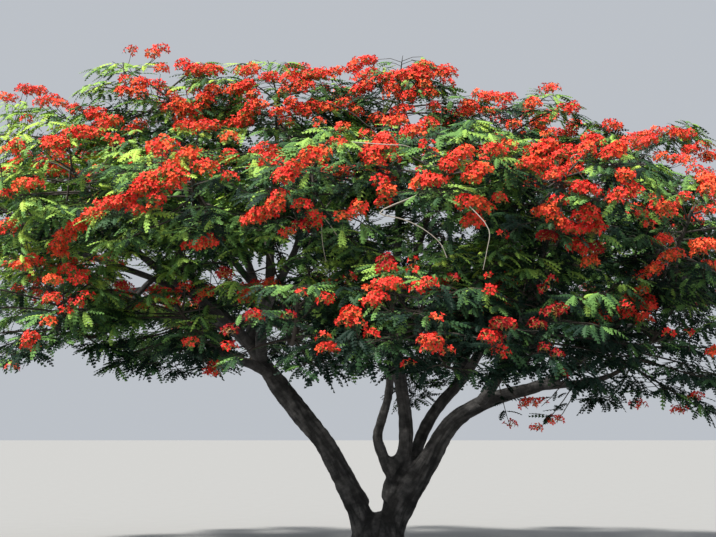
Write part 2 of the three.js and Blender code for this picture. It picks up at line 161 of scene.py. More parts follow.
mainLimbs = {
    "west_limb": ("centre_west_top", [
        (-70, 0, 180, 215), (-224, 0, 615, 165), (-492, -10, 1157, 142), (-722, -20, 1547, 132),
        (-1145, -40, 2070, 146), (-1437, -60, 2464, 112), (-1650, -80, 2860, 92),
        (-1440, -120, 3450, 70), (-1400, -220, 4150, 52)]),
    "east_limb": ("east_shoulder", [
        (90, 0, 180, 215), (271, 0, 615, 172), (495, -10, 989, 158), (693, -20, 1313, 142),
        (860, -35, 1610, 128), (1077, -50, 1850, 115), (1514, -90, 2083, 98),
        (2215, -200, 2293, 74), (2880, -800, 2850, 54)]),
    "middle_limb": ("crown_top", [
        (150, 30, 520, 112), (196, 30, 1028, 104), (345, 0, 1340, 100), (380, -20, 1680, 96),
        (330, 20, 2160, 88), (230, 40, 3250, 64), (290, -80, 4400, 48)]),
    "inner_limb": ("centre_front_east", [
        (198, 20, 1030, 78), (77, -80, 1340, 76), (2, -95, 1580, 68), (60, -130, 1810, 62),
        (145, -230, 2120, 58), (170, -900, 2760, 50), (330, -1850, 3420, 40)]),
    "back_limb": ("east_high", [
        (495, -10, 989, 92), (520, 190, 1391, 86), (749, 260, 1886, 82), (1201, 380, 2424, 74),
        (1500, 440, 2900, 64), (2150, 400, 3800, 50)]),
    "west_back_limb": ("rear_top_west", [
        (-1145, -40, 2070, 104), (-1500, 260, 2560, 94), (-2150, 900, 3300, 74),
        (-2750, 1550, 4050, 54)]),
}

# the limb each bough leaves, how far along it, and the mass the bough carries
sideBoughs = {
    "west_peak_bough": ("west_limb", 0.74, "west_peak"),
    "west_top_bough": ("west_peak_bough", 0.3, "west_top"),
    "west_low_bough": ("west_limb", 0.63, "west_shoulder"),
    "far_west_bough": ("west_low_bough", 0.4, "far_west_shoulder"),
    "west_skirt_bough": ("west_low_bough", 0.62, "west_skirt"),
    "west_inner_bough": ("west_limb", 0.53, "west_inner_skirt"),
    "front_west_bough": ("west_limb", 0.585, "centre_front_west"),
    "west_front_bough": ("front_west_bough", 0.36, "west_front"),
    "front_west_skirt_bough": ("front_west_bough", 0.6, "front_west_skirt"),
    "rear_west_bough": ("west_back_limb", 0.42, "rear_west"),
    "rear_far_west_bough": ("west_back_limb", 0.62, "rear_far_west"),
    "rear_bough": ("middle_limb", 0.56, "rear_top"),
    "rear_centre_bough": ("rear_bough", 0.36, "rear_centre"),
    "front_east_skirt_bough": ("inner_limb", 0.76, "front_east_skirt"),
    "east_skirt_bough": ("east_limb", 0.74, "east_skirt"),
    "east_front_bough": ("east_limb", 0.62, "east_front"),
    "east_front_skirt_bough": ("east_front_bough", 0.5, "east_front_skirt"),
    "far_east_bough": ("east_limb", 0.8, "far_east_shoulder"),
    "east_top_bough": ("back_limb", 0.58, "east_top"),
    "rear_top_east_bough": ("back_limb", 0.44, "rear_top_east"),
    "rear_east_bough": ("rear_top_east_bough", 0.34, "rear_east"),
    "rear_far_east_bough": ("back_limb", 0.68, "rear_far_east"),
}

# middle of each mass, its half widths, its seed and the part of the crown it is joined to
masses = {
    "west_top": ((-4500, 600, 5540), (1250, 1200, 800), 11, "top_west"),
    "west_peak": ((-2800, -400, 5900), (1250, 1200, 820), 12, "top_west"),
    "centre_west_top": ((-1300, -400, 5850), (1200, 1200, 800), 13, "top_west"),
    "crown_top": ((300, -200, 5950), (1220, 1250, 850), 14, "top_east"),
    "east_top": ((1850, 0, 5560), (1200, 1200, 800), 15, "top_east"),
    "east_high": ((3400, 200, 5250), (1300, 1200, 850), 16, "top_east"),
    "far_west_shoulder": ((-5250, -500, 4600), (1250, 1300, 900), 21, "front_west"),
    "west_shoulder": ((-3650, -2200, 4500), (1250, 1200, 850), 22, "front_west"),
    "west_front": ((-2150, -3000, 4300), (1250, 1250, 850), 23, "front_west"),
    "centre_front_west": ((-750, -3250, 4300), (1200, 1250, 800), 24, "front_middle"),
    "centre_front_east": ((650, -3250, 4350), (1200, 1250, 850), 25, "front_middle"),
    "east_front": ((2100, -2800, 4300), (1250, 1250, 900), 26, "front_east"),
    "east_shoulder": ((3750, -1900, 4000), (1250, 1200, 950), 27, "front_east"),
    "far_east_shoulder": ((4700, 400, 4150), (1200, 1300, 950), 28, "front_east"),
    "west_skirt": ((-3900, -2000, 3100), (1250, 1200, 800), 31, "front_west"),
    "west_inner_skirt": ((-2450, -1700, 2950), (1100, 1150, 750), 32, "front_west"),
    "front_west_skirt": ((-900, -3300, 2900), (1100, 1150, 750), 33, "front_middle"),
    "front_east_skirt": ((450, -3700, 2850), (1150, 1150, 750), 34, "front_middle"),
    "east_front_skirt": ((1850, -2900, 2800), (1200, 1150, 800), 35, "front_middle"),
    "east_skirt": ((3400, -1500, 2600), (1200, 1200, 850), 36, "front_east"),
    "rear_top_west": ((-3300, 2300, 5300), (1300, 1250, 850), 41, "rear_west"),
    "rear_top": ((-700, 2300, 5650), (1300, 1250, 850), 42, "rear_west"),
    "rear_top_east": ((1900, 2300, 5350), (1300, 1250, 850), 43, "rear_east"),
    "rear_far_west": ((-4900, 2200, 4000), (1300, 1300, 900), 44, "rear_west"),
    "rear_west": ((-3300, 4000, 3400), (1300, 1250, 800), 45, "rear_west"),
    "rear_centre": ((-700, 4300, 3500), (1350, 1300, 800), 46, "rear_east"),
    "rear_east": ((1900, 4100, 3400), (1350, 1250, 800), 47, "rear_east"),
    "rear_far_east": ((4050, 2700, 3750), (1300, 1250, 900), 48, "rear_east"),
}
massMiddle = {name: np.array(row[0]) * mm for name, row in masses.items()}
massHalf = {name: np.array(row[1]) * mm for name, row in masses.items()}
partOf = {name: row[3] for name, row in masses.items()}
crownParts = sorted(set(partOf.values()))

boughSize = {
    "rings": 5, "thickest": 78, "tipRadius": 34, "shareOfParent": 0.74,
    "depthOfTip": 0.66, "flattestTip": 0.35,
    "withParent": 0.55, "upAtTip": 0.25, "leaveReach": 0.36, "arriveReach": 0.3,
}


# a centripetal curve through named points, read at places counted in spans
def curveThrough(points, places):
    points = np.asarray(points, float)
    padded = np.vstack([2 * points[0] - points[1], points, 2 * points[-1] - points[-2]])
    span = np.minimum(np.maximum(places, 0).astype(int), len(points) - 2)
    share = (places - span)[:, None]
    p0, p1, p2, p3 = (padded[span + k] for k in range(4))
    pairs = ((p0, p1), (p1, p2), (p2, p3))
    d0, d1, d2 = (np.sqrt(np.linalg.norm(b - a, axis=1))[:, None] for a, b in pairs)
    leave = ((p1 - p0) / d0 - (p2 - p0) / (d0 + d1) + (p2 - p1) / d1) * d1
    arrive = ((p2 - p1) / d1 - (p3 - p1) / (d1 + d2) + (p3 - p2) / d2) * d1
    square = 3 * (p2 - p1) - 2 * leave - arrive
    cube = leave + arrive - 2 * (p2 - p1)
    return p1 + leave * share + square * share**2 + cube * share**3


def bezier(points, shares):
    count = len(points) - 1
    shares = np.asarray(shares, float)[:, None]
    return sum(
        math.comb(count, k) * shares**k * (1 - shares) ** (count - k) * np.asarray(points[k], float)
        for k in range(count + 1))


# a little way inside the mass, on the line from where the bough comes
def tipFor(name, comingFrom):
    below = comingFrom - massMiddle[name]
    below[2] = min(below[2], -boughSize["flattestTip"] * np.linalg.norm(below))
    return massMiddle[name] + below * (boughSize["depthOfTip"] / np.linalg.norm(below / massHalf[name]))


# every limb: read gives its centre line at shares from 0 to 1, and thick gives its radius there
limbs = {}


def addLimb(name, carries, read, thick, stationCount):
    shares = np.linspace(0, 1, stationCount)
    near = 1e-4
    along = unit(read(np.minimum(shares + near, 1)) - read(np.maximum(shares - near, 0)))
    limbs[name] = {"carries": carries, "read": read, "thick": thick, "stations": read(shares),
                   "along": along, "radii": thick(shares)}


for limbName, (carries, corners) in mainLimbs.items():
    named = np.array(corners, float) * mm
    points = np.vstack([named[:, :3], tipFor(carries, named[-1, :3])])
    radii = np.append(named[:, 3], boughSize["tipRadius"] * mm)
    spans = len(points) - 1
    addLimb(
        limbName, carries,
        lambda shares, points=points, spans=spans: curveThrough(points, shares * spans),
        lambda shares, radii=radii, spans=spans: np.interp(shares * spans, np.arange(spans + 1), radii),
        spans * 2 + 1)

for boughName, (parentName, share, carries) in sideBoughs.items():
    parent = limbs[parentName]
    place = share * (len(parent["stations"]) - 1)
    before, after, between = math.floor(place), math.ceil(place), place - math.floor(place)
    start = mix(parent["stations"][before], parent["stations"][after], between)
    parentRadius = mix(parent["radii"][before], parent["radii"][after], between)
    tip = tipFor(carries, start)
    length = np.linalg.norm(tip - start)
    leave = unit(unit(tip - start) + boughSize["withParent"] * parent["along"][before])
    arrive = unit(unit(tip - start) + boughSize["upAtTip"] * upward)
    corners = [start, start + leave * length * boughSize["leaveReach"],
               tip - arrive * length * boughSize["arriveReach"], tip]
    thickest = min(boughSize["thickest"] * mm, parentRadius * boughSize["shareOfParent"])
    addLimb(
        boughName, carries,
        lambda shares, corners=corners: bezier(corners, shares),
        lambda shares, thickest=thickest: mix(thickest, boughSize["tipRadius"] * mm, shares),
        boughSize["rings"])

limbShares = np.linspace(0, 1, 60)
limbPoints = np.vstack([limb["read"](limbShares) for limb in limbs.values()])
limbRadii = np.concatenate([limb["thick"](limbShares) for limb in limbs.values()])
print("limbs placed:", len(limbs))


# Bark: one skin over the trunk and great limbs, and tubes for what rises into the crown

# where stems have grown together above a fork: east, north, up and radius, from the foot of each
forkFills = [
    [(0.20, -0.02, 1.02, 0.10), (0.20, -0.05, 1.22, 0.095), (0.185, -0.06, 1.33, 0.06)],
    [(0.38, 0.00, 0.98, 0.13), (0.42, 0.02, 1.16, 0.11), (0.45, 0.07, 1.31, 0.07)],
    [(0.11, 0.00, 0.48, 0.12), (0.20, 0.00, 0.74, 0.09), (0.24, 0.01, 0.95, 0.10)],
]

barkSize = {
    "skinVoxel": 0.016, "skinTop": 2.95, "smoothing": 10, "smoothShare": 0.7,
    "crotchSmoothing": 26, "crotchReach": 0.06, "crotchFade": 0.6, "groove": 0.020,
    "swell": 0.012, "swellLength": 0.33, "crease": 0.017, "creaseLength": 0.55,
    "knot": 0.011, "knotLength": 0.10, "wrinkle": 0.0011, "wrinkleStep": 0.052,
    "stoutRadius": 0.12, "reliefSpan": 0.022,
    "boleLevels": 26, "boleSides": 72, "limbSides": 24, "fillSides": 20, "fillRings": 9,
    "tubeSides": 14, "tubeStep": 0.06, "tubeOverlap": 0.03,
}


def sideDirections(along):
    side = np.array([1.0, 0, 0]) if abs(along[0][0]) < 0.8 else np.array([0, 1.0, 0])
    sides = []
    for direction in along:
        side = unit(side - direction * side.dot(direction))
        sides.append(side)
    sides = np.array(sides)
    return sides, np.cross(along, sides)


def turnsRound(sides):
    return np.arange(sides) * math.tau / sides


# the faces between rings of corners, with a cap at each end
def ringFaces(rings, sides):
    i, j = np.meshgrid(np.arange(rings - 1), np.arange(sides), indexing="ij")
    nextJ = (j + 1) % sides
    faces = np.stack([i * sides + j, i * sides + nextJ, (i + 1) * sides + nextJ, (i + 1) * sides + j], -1)
    last = (rings - 1) * sides
    caps = [tuple(range(sides - 1, -1, -1)), tuple(range(last, last + sides))]
    return [tuple(face) for face in faces.reshape(-1, 4)] + caps


# rings of corners round a centre line, closed at both ends
def tube(centres, radii, sides):
    side, across = sideDirections(unit(np.gradient(centres, axis=0)))
    turns = turnsRound(sides)[None, :, None]
    ring = np.cos(turns) * side[:, None] + np.sin(turns) * across[:, None]
    places = (centres[:, None] + ring * radii[:, None, None]).reshape(-1, 3)
    return places, ringFaces(len(centres), sides)


# the bole, from a little below the ground, with its flare and ribs
def boleShape():
    levels, sides = barkSize["boleLevels"], barkSize["boleSides"]
    foot, waist = bole["footRadius"], bole["waistRadius"]
    profileHeight = [-80, 0, 80, 180, bole["waistHeight"], bole["shoulderHeight"], bole["topHeight"]]
    profileRadius = [foot, foot, mix(foot, waist, 0.5), mix(foot, waist, 0.85), waist,
                     bole["shoulderRadius"], bole["topRadius"]]
    heights = np.linspace(profileHeight[0], bole["topHeight"], levels)
    radii = np.interp(heights, profileHeight, profileRadius)
    turn = turnsRound(sides)
    flare = np.clip(1 - heights / bole["shoulderHeight"], 0, 1)[:, None]
    rib = 1 + bole["ribDepth"] * flare * np.cos(bole["ribs"] * turn + 0.6)[None]
    lean = bole["leanEast"] * (heights / bole["topHeight"])[:, None]
    x = radii[:, None] * rib * np.cos(turn) + lean
    y = radii[:, None] * rib * np.sin(turn) * bole["depthShare"]
    places = np.stack([x, y, np.broadcast_to(heights[:, None], x.shape)], -1).reshape(-1, 3) * mm
    return places, ringFaces(levels, sides)


def joinShapes(shapes):
    places, faces, offset = [], [], 0
    for shapePlaces, shapeFaces in shapes:
        places.append(shapePlaces)
        faces += [tuple(i + offset for i in face) for face in shapeFaces]
        offset += len(shapePlaces)
    return np.vstack(places), faces


def evaluatedMesh(made):
    graph = bpy.context.evaluated_depsgraph_get()
    graph.update()
    return bpy.data.meshes.new_from_object(made.evaluated_get(graph), depsgraph=graph)


# each corner drawn towards the middle of its neighbours, as far as its weight allows
def smoothed(places, edges, weights, rounds):
    count = len(places)
    first, second = edges.T
    degree = np.maximum(np.bincount(edges.ravel(), minlength=count), 1)[:, None]
    for _ in range(rounds):
        total = np.stack([
            np.bincount(first, places[second, k], count) + np.bincount(second, places[first, k], count)
            for k in range(3)], 1)
        places = places + weights[:, None] * (total / degree - places) * 0.6
    return places


# rings along a limb, with their radii, their directions and how far along each stands
def lineOf(read, thick, low=0.0, high=1.0, step=0.05):
    length = np.linalg.norm(np.diff(read(np.linspace(low, high, 80)), axis=0), axis=1).sum()
    shares = np.linspace(low, high, max(int(length / step), 4) + 1)
    centres = read(shares)
    along = unit(np.gradient(centres, axis=0))
    side, across = sideDirections(along)
    run = np.concatenate([[0], np.cumsum(np.linalg.norm(np.diff(centres, axis=0), axis=1))])
    return {"centres": centres, "radii": thick(shares), "along": along, "side": side,
            "across": across, "run": run}


# how far along the nearest limb a place is, its turn round that limb, the limb's radius there, and
# how near a second limb is
def limbReadings(places, lines):
    rings = [(line, n) for line in lines for n in range(len(line["centres"]))]
    ringFinder = finderOf([line["centres"][n] for line, n in rings])
    readings = np.zeros((4, len(places)))
    for i, place in enumerate(places):
        found = []
        for _, number, away in ringFinder.find_n(place, 14):
            line, n = rings[number]
            found.append((away - line["radii"][n], line, n))
        _, line, n = min(found, key=lambda hit: hit[0])
        out = place - line["centres"][n]
        readings[:, i] = (
            line["run"][n] + out.dot(line["along"][n]),
            math.atan2(out.dot(line["across"][n]), out.dot(line["side"][n])),
            line["radii"][n],
            min((gap for gap, other, _ in found if other is not line), default=1.0))
    return readings


# muscle-like swells, lengthwise creases, knots and wrinkles across, as a height over the bark
def barkHeight(along, turn, radius):
    size = barkSize
    height = np.empty(len(along))
    for i, (a, t, r) in enumerate(zip(along, turn, radius)):
        x, y = math.cos(t), math.sin(t)
        stout = min(r / size["stoutRadius"], 1.2)
        knotty = 2.2 * r / 0.15  # knots keep their size on limbs of any radius
        swell = noise.noise((x * 1.1, y * 1.1, a / size["swellLength"]))
        crease = 0.5 - abs(noise.noise((x * 2.3, y * 2.3, a / size["creaseLength"] + 7))) * 2.4
        knot = noise.noise((x * knotty, y * knotty, a / size["knotLength"] + 21))
        wave = a / size["wrinkleStep"] + 1.5 * noise.noise((x * 1.3, y * 1.3, a * 4 + 3))
        wrinkle = (1 - abs(math.sin(math.pi * wave))) ** 3
        broken = 0.5 + noise.noise((x * 2, y * 2, a * 5 + 11))
        height[i] = (
            (size["swell"] * swell - size["crease"] * max(crease, 0) + size["knot"] * knot) * stout
            - size["wrinkle"] * wrinkle * max(broken, 0))
    return height


# where the bark lies deep or high, from 0 to 1, for its painted shade and light, and how far round and along
# each place is
def setBarkMap(mesh, along, turn, radius, height):
    addAttribute(mesh, "relief", "FLOAT", np.clip(0.5 + height / barkSize["reliefSpan"], 0, 1))
    corner = readMesh(mesh.loops, "vertex_index", 1, int)[:, 0]
    values = np.stack([(turn * radius)[corner], along[corner]], 1)
    mesh.uv_layers.new(name="barkMap").data.foreach_set("uv", values.ravel())


def cutAtGround(mesh):
    work = bmesh.new()
    work.from_mesh(mesh)
    everything = work.verts[:] + work.edges[:] + work.faces[:]
    cut = bmesh.ops.bisect_plane(
        work, geom=everything, plane_co=(0, 0, 0), plane_no=(0, 0, 1), clear_inner=True)
    rim = [part for part in cut["geom_cut"] if isinstance(part, bmesh.types.BMEdge)]
    bmesh.ops.holes_fill(work, edges=rim, sides=0)
    work.to_mesh(mesh)
    work.free()


# the share of a great limb at which the joined skin ends and its tube takes over
def skinEnd(limb):
    shares = np.linspace(0, 1, 200)
    return shares[np.argmax(limb["read"](shares)[:, 2] > barkSize["skinTop"])]


def boleAxis(shares):
    return np.array([[0.02, 0, -0.1]]) + shares[:, None] * np.array([[0.02, 0, 0.62]])


def makeSkin():
    lines = [lineOf(limbs[name]["read"], limbs[name]["thick"], 0, skinEnd(limbs[name])) for name in mainLimbs]
    shapes = [boleShape()] + [tube(line["centres"], line["radii"], barkSize["limbSides"]) for line in lines]
    for fill in np.array(forkFills):
        places = np.linspace(0, len(fill) - 1, barkSize["fillRings"])
        rings = np.stack([np.interp(places, np.arange(len(fill)), column) for column in fill.T], 1)
        shapes.append(tube(rings[:, :3], rings[:, 3], barkSize["fillSides"]))
    lines.append(lineOf(boleAxis, lambda shares: mix(0.4, 0.24, shares)))
    rough = meshObject("bark_rough", *joinShapes(shapes))
    remesh = rough.modifiers.new("skin", "REMESH")
    remesh.mode = "VOXEL"
    remesh.voxel_size = barkSize["skinVoxel"]
    mesh = evaluatedMesh(rough)
    bpy.data.objects.remove(rough)
    places = readMesh(mesh.vertices, "co", 3)
    edges = readMesh(mesh.edges, "vertices", 2, int)
    along, turn, radius, crotch = limbReadings(places, lines)
    nearCrotch = np.clip(1 - crotch / barkSize["crotchReach"], 0, 1)
    places = smoothed(places, edges, np.full(len(places), barkSize["smoothShare"]), barkSize["smoothing"])
    places = smoothed(places, edges, nearCrotch, barkSize["crotchSmoothing"])
    mesh.vertices.foreach_set("co", places.ravel())
    mesh.update()
    height = barkHeight(along, turn, radius) * (1 - barkSize["crotchFade"] * nearCrotch)
    height -= barkSize["groove"] * nearCrotch**2
    places = places + readMesh(mesh.vertices, "normal", 3) * height[:, None]
    mesh.vertices.foreach_set("co", places.ravel())
    setBarkMap(mesh, along, turn, radius, height)
    cutAtGround(mesh)
    mesh.update()
    return newObject("trunk_and_great_limbs", mesh)


def makeTubes():
    shapes, readings = [], []
    sides = barkSize["tubeSides"]
    for name, limb in limbs.items():
        low = max(skinEnd(limb) - barkSize["tubeOverlap"], 0) if name in mainLimbs else 0.0
        line = lineOf(limb["read"], limb["thick"], low, 1, barkSize["tubeStep"])
        turn = np.tile(turnsRound(sides), len(line["centres"]))
        along = np.repeat(line["run"], sides) + len(name)
        radius = np.repeat(line["radii"], sides)
        places, faces = tube(line["centres"], line["radii"], sides)
        out = unit(places - np.repeat(line["centres"], sides, axis=0))
        height = barkHeight(along, turn, radius)
        shapes.append((places + out * height[:, None], faces))
        readings.append((along, turn, radius, height))
    made = meshObject("upper_limbs_and_boughs", *joinShapes(shapes))
    setBarkMap(made.data, *(np.concatenate(parts) for parts in zip(*readings)))
    return made


greatSkin = makeSkin()
upperBoughs = makeTubes()
for piece in (greatSkin, upperBoughs):
    piece.data.polygons.foreach_set("use_smooth", [True] * len(piece.data.polygons))
print("bark made:", len(greatSkin.data.polygons), len(upperBoughs.data.polygons))


# Twigs: the source's six from each stem, more by the same rule, and finer ones off them

sourceTwigs = {"count": 6, "lowest": -0.5, "highest": 0.52, "droop": (-0.6, 0.05)}
moreTwigs = {"count": 8, "lowest": -0.84, "highest": 0.84, "droop": (-0.45, 0.28)}
twigSize = {
    "stemRadius": 0.034, "stemTip": 0.026, "rootRadius": 0.016, "endRadius": 0.006,
    "out": 0.5, "firstAt": 0.3, "reach": 0.88, "longest": 1.35, "topReach": 0.12, "step": 0.05,
    "neighbourWithin": 3.0, "bridgeAim": 0.26, "bridgeRoom": 0.8,
    "forks": 8, "forksFrom": 0.32, "forkTurn": 0.9, "forkReach": 0.98,
    "forkLongest": 0.55, "forkShortest": 0.26, "forkLeast": 0.1, "forkArch": 0.08,
    "forkRadius": 0.0050, "forkTip": 0.0030, "clearedForks": 0.7,
    "boughStep": 0.26, "boughFrom": 2.75, "boughTwigLongest": 1.0, "boughTwigShortest": 0.45,
    "steepBelow": 4.7, "steepLonger": 0.6, "steepTurn": 0.85,
}
# sprays lie like shingles: they lean outwards with the crown and a little with their own mass
frondSize = {
    "longest": 0.28, "shortest": 0.18, "atTip": 4, "alongTwiglet": 3, "spread": 0.72, "sideTurn": 1.15,
    "crownLean": 0.38, "massLean": 0.20, "innerHang": 0.5, "underHang": 0.28, "topHang": 0.12,
    "clearOfLimb": 0.04, "clearOfHead": 0.11, "headAhead": 0.08, "skyline": 62, "thinned": 0.08,
    "leftInOpening": 0.1, "lowestTip": 1.5, "pastBox": 0.02,
}
# painted light of the sprays, which picks their greens: lighter for high and outer ones and those to the
# west, with painted shade near the underside
sprayLight = {
    "height": 0.28, "shell": 0.52, "ofSpray": 0.8, "ofFrond": 0.7, "west": 0.46,
    "under": 0.42, "underBelow": 3.6, "eastHigher": 1.1, "underFade": 1.2,
}
crownMiddle = np.array([-0.3, 0.4, 0.0])
crownHalf = np.array([6.1, 5.2, 1.0])

# The front view: where the camera stands, and what shows at a place in its picture

camera = {
    "eye": np.array([-0.25, -18.5, 1.6]), "tiltUp": 6.82, "focalPixels": 1400.0,
    "imageWidth": 716, "imageHeight": 537, "sensor": 36.0,
}
viewTilt = math.radians(camera["tiltUp"])
viewAhead = np.array([0, math.cos(viewTilt), math.sin(viewTilt)])
viewUp = np.array([0, -math.sin(viewTilt), math.cos(viewTilt)])

# lines of sight that stay open: across and down in the front view, how wide there, and how far back
openings = {
    "west": (140, 275, 19, 9), "westSmall": (211, 275, 8, 9), "limbWest": (253, 262, 11, 9),
    "limbEast": (291, 247, 10, 9), "centre": (358, 221, 10, 9), "centreEast": (386, 214, 9, 9),
    "east": (470, 230, 9, 9), "topWest": (46, 130, 9, 9),
    "limbFoot": (266, 373, 17, -0.2), "limbLower": (252, 355, 18, -0.2), "limbMiddle": (238, 337, 15, -0.2),
    "limbUpper": (224, 319, 12, -0.2), "limbHead": (213, 302, 9, -0.2),
    "innerLimb": (272, 300, 9, -0.3), "innerLimbTop": (270, 275, 9, -0.3),
}


def inFrontView(places):
    away = places - camera["eye"]
    scale = camera["focalPixels"] / (away @ viewAhead)
    return camera["imageWidth"] / 2 + away[:, 0] * scale, camera["imageHeight"] / 2 - (away @ viewUp) * scale


def sightThrough(across, down):
    right = (across - camera["imageWidth"] / 2) / camera["focalPixels"]
    rise = (camera["imageHeight"] / 2 - down) / camera["focalPixels"]
    return np.array([right, 0, 0]) + viewAhead + viewUp * rise


# the place at a given depth on the line of sight through a place in the front view
def sightAtDepth(across, down, depth):
    way = sightThrough(across, down)
    return camera["eye"] + way * ((depth - camera["eye"][1]) / way[1])


# where the line of sight through a place in the front view meets the outside of the crown, or else
# where it passes closest to it
def onCrown(across, down, shell):
    way = sightThrough(across, down)
    nearest, closest = None, (math.inf, None)
    for name in masses:
        half = massHalf[name] * shell
        eye, step = (camera["eye"] - massMiddle[name]) / half, way / half
        middle = -eye.dot(step) / step.dot(step)
        miss = np.linalg.norm(eye + step * middle)
        if miss < 1:
            hit = middle - math.sqrt((1 - miss * miss) / step.dot(step))
            nearest = hit if nearest is None else min(nearest, hit)
        elif miss < closest[0]:
            closest = (miss, middle)
    return camera["eye"] + way * (closest[1] if nearest is None else nearest)


def inOpening(places, margin=0.0):
    across, down = inFrontView(places)
    inside = np.zeros(len(places), bool)
    for openAcross, openDown, wide, back in openings.values():
        inside |= (np.hypot(across - openAcross, down - openDown) < wide + margin) & (places[:, 1] < back)
    return inside


# 0 in the middle of a mass and 1 on its outside
def shellOf(name, places):
    return np.linalg.norm((places - massMiddle[name]) / massHalf[name], axis=-1)


def closestMass(place):
    return min(masses, key=lambda name: shellOf(name, place))


def tilted(heading, angle):
    return heading * math.cos(angle) + upward * math.sin(angle)


def turned(heading, angle):
    x, y = heading[0], heading[1]
    return np.array([x * math.cos(angle) - y * math.sin(angle), x * math.sin(angle) + y * math.cos(angle), 0])


# the furthest that a line from start can run and stay inside the mass, or near its bridge
def runInside(name, start, direction, longest, reach, bridge=None):
    steps = np.arange(twigSize["step"], longest + 0.01, twigSize["step"])
    line = start + direction * steps[:, None]
    topped = np.clip((line[:, 2] - massMiddle[name][2]) / massHalf[name][2], 0, 1)
    inside = shellOf(name, line) < reach - twigSize["topReach"] * topped
    if bridge is not None:
        inside |= np.linalg.norm(line - bridge, axis=1) < twigSize["bridgeRoom"]
    if inside.all():
        return steps[-1]
    outside = np.argmin(inside)
    return steps[outside - 1] if outside > 0 else 0.0


twigLines = {part: [] for part in [*crownParts, "pale"]}
fronds = {part: [] for part in crownParts}
twigletTips = []
stems = {}


def addTwigLine(part, points, startRadius, endRadius):
    radii = np.linspace(startRadius, endRadius, len(points))
    twigLines[part].append((np.asarray(points), radii))


def sprayFacing(name, place):
    level = np.array([1.0, 1.0, 0.0])
    crownOut = (place - crownMiddle) / crownHalf * level
    massOut = (place - massMiddle[name]) / massHalf[name] * level
    return unit(upward + crownOut * frondSize["crownLean"] + massOut * frondSize["massLean"])


# painted light of a spray as a number: more high up, on the outside and to the west, with painted shade near
# the underside that reaches higher to the east
def lightAt(tip, shell, height):
    light = sprayLight["height"] * height + sprayLight["shell"] * min(shell, 1)
    light += sprayLight["west"] * max(-tip[0], 0) / crownHalf[0]
    below = sprayLight["underBelow"] + sprayLight["eastHigher"] * max(tip[0], 0) / cadHigh[0]
    return light - sprayLight["under"] * np.clip((below - tip[2]) / sprayLight["underFade"], 0, 1)


# a spray: fronds fanned out at the tip of a twiglet and a few along it
def growFronds(name, part, path, heading, random):
    size = frondSize
    tip = path[-1]
    shell = shellOf(name, tip)
    height = (tip[2] - massMiddle[name][2]) / massHalf[name][2]
    facing = sprayFacing(name, tip)
    hangChance = size["innerHang"] if shell < 0.7 else size["underHang"] if height < -0.1 else size["topHang"]
    light = lightAt(tip, shell, height) + (random() - 0.5) * sprayLight["ofSpray"]
    for k in range(size["atTip"] + size["alongTwiglet"]):
        if k < size["atTip"]:
            root = mix(path[-2], tip, 0.75 + 0.25 * random())
            turn = (k - (size["atTip"] - 1) / 2) * size["spread"] + (random() - 0.5) * 0.5
        else:
            root = mix(path[0], tip, 0.2 + 0.6 * random())
            turn = size["sideTurn"] * (1 if k % 2 else -1) + (random() - 0.5) * 0.6
        hang = mix(0.2, 1.0, random()) if random() < hangChance else 0.0
        level = turned(heading, turn)
        flat = unit(level - facing * level.dot(facing))
        direction = unit(flat - upward * (hang + (random() - 0.45) * 0.4))
        roll = (random() - 0.5) * 0.7
        length = mix(size["shortest"], size["longest"], random())
        luck = random()
        fronds[part].append({
            "place": root, "heading": direction, "facing": facing, "roll": roll, "length": length,
            "luck": luck, "light": light + (luck - 0.5) * sprayLight["ofFrond"]})


def growTwiglets(name, path, heading, droop, random, bridge=None):
    size = twigSize
    for k in range(size["forks"] + 1):
        share = mix(size["forksFrom"], 1.0, k / size["forks"])
        place = share * (len(path) - 1)
        i = min(int(place), len(path) - 2)
        start = mix(path[i], path[i + 1], place - i)
        turn = 0.0
        if k < size["forks"]:
            turn = (1 if k % 2 else -1) * (size["forkTurn"] + (random() - 0.5) * 0.5)
        dip = 0.6 * droop + (random() - 0.5) * 0.35
        newHeading = turned(heading, turn)
        direction = tilted(newHeading, dip)
        wanted = mix(size["forkShortest"], size["forkLongest"], random()) * (1.1 - 0.35 * share)
        length = runInside(name, start, direction, wanted, size["forkReach"], bridge)
        if length < size["forkLeast"]:
            continue
        end = start + direction * length
        twiglet = np.array([start, mix(start, end, 0.5) + upward * length * size["forkArch"], end])
        if inOpening(twiglet, 2).any() and random() < size["clearedForks"]:
            continue
        addTwigLine(partOf[name], twiglet, size["forkRadius"], size["forkTip"])
        twigletTips.append((end, name))
        growFronds(name, partOf[name], twiglet, newHeading, random)


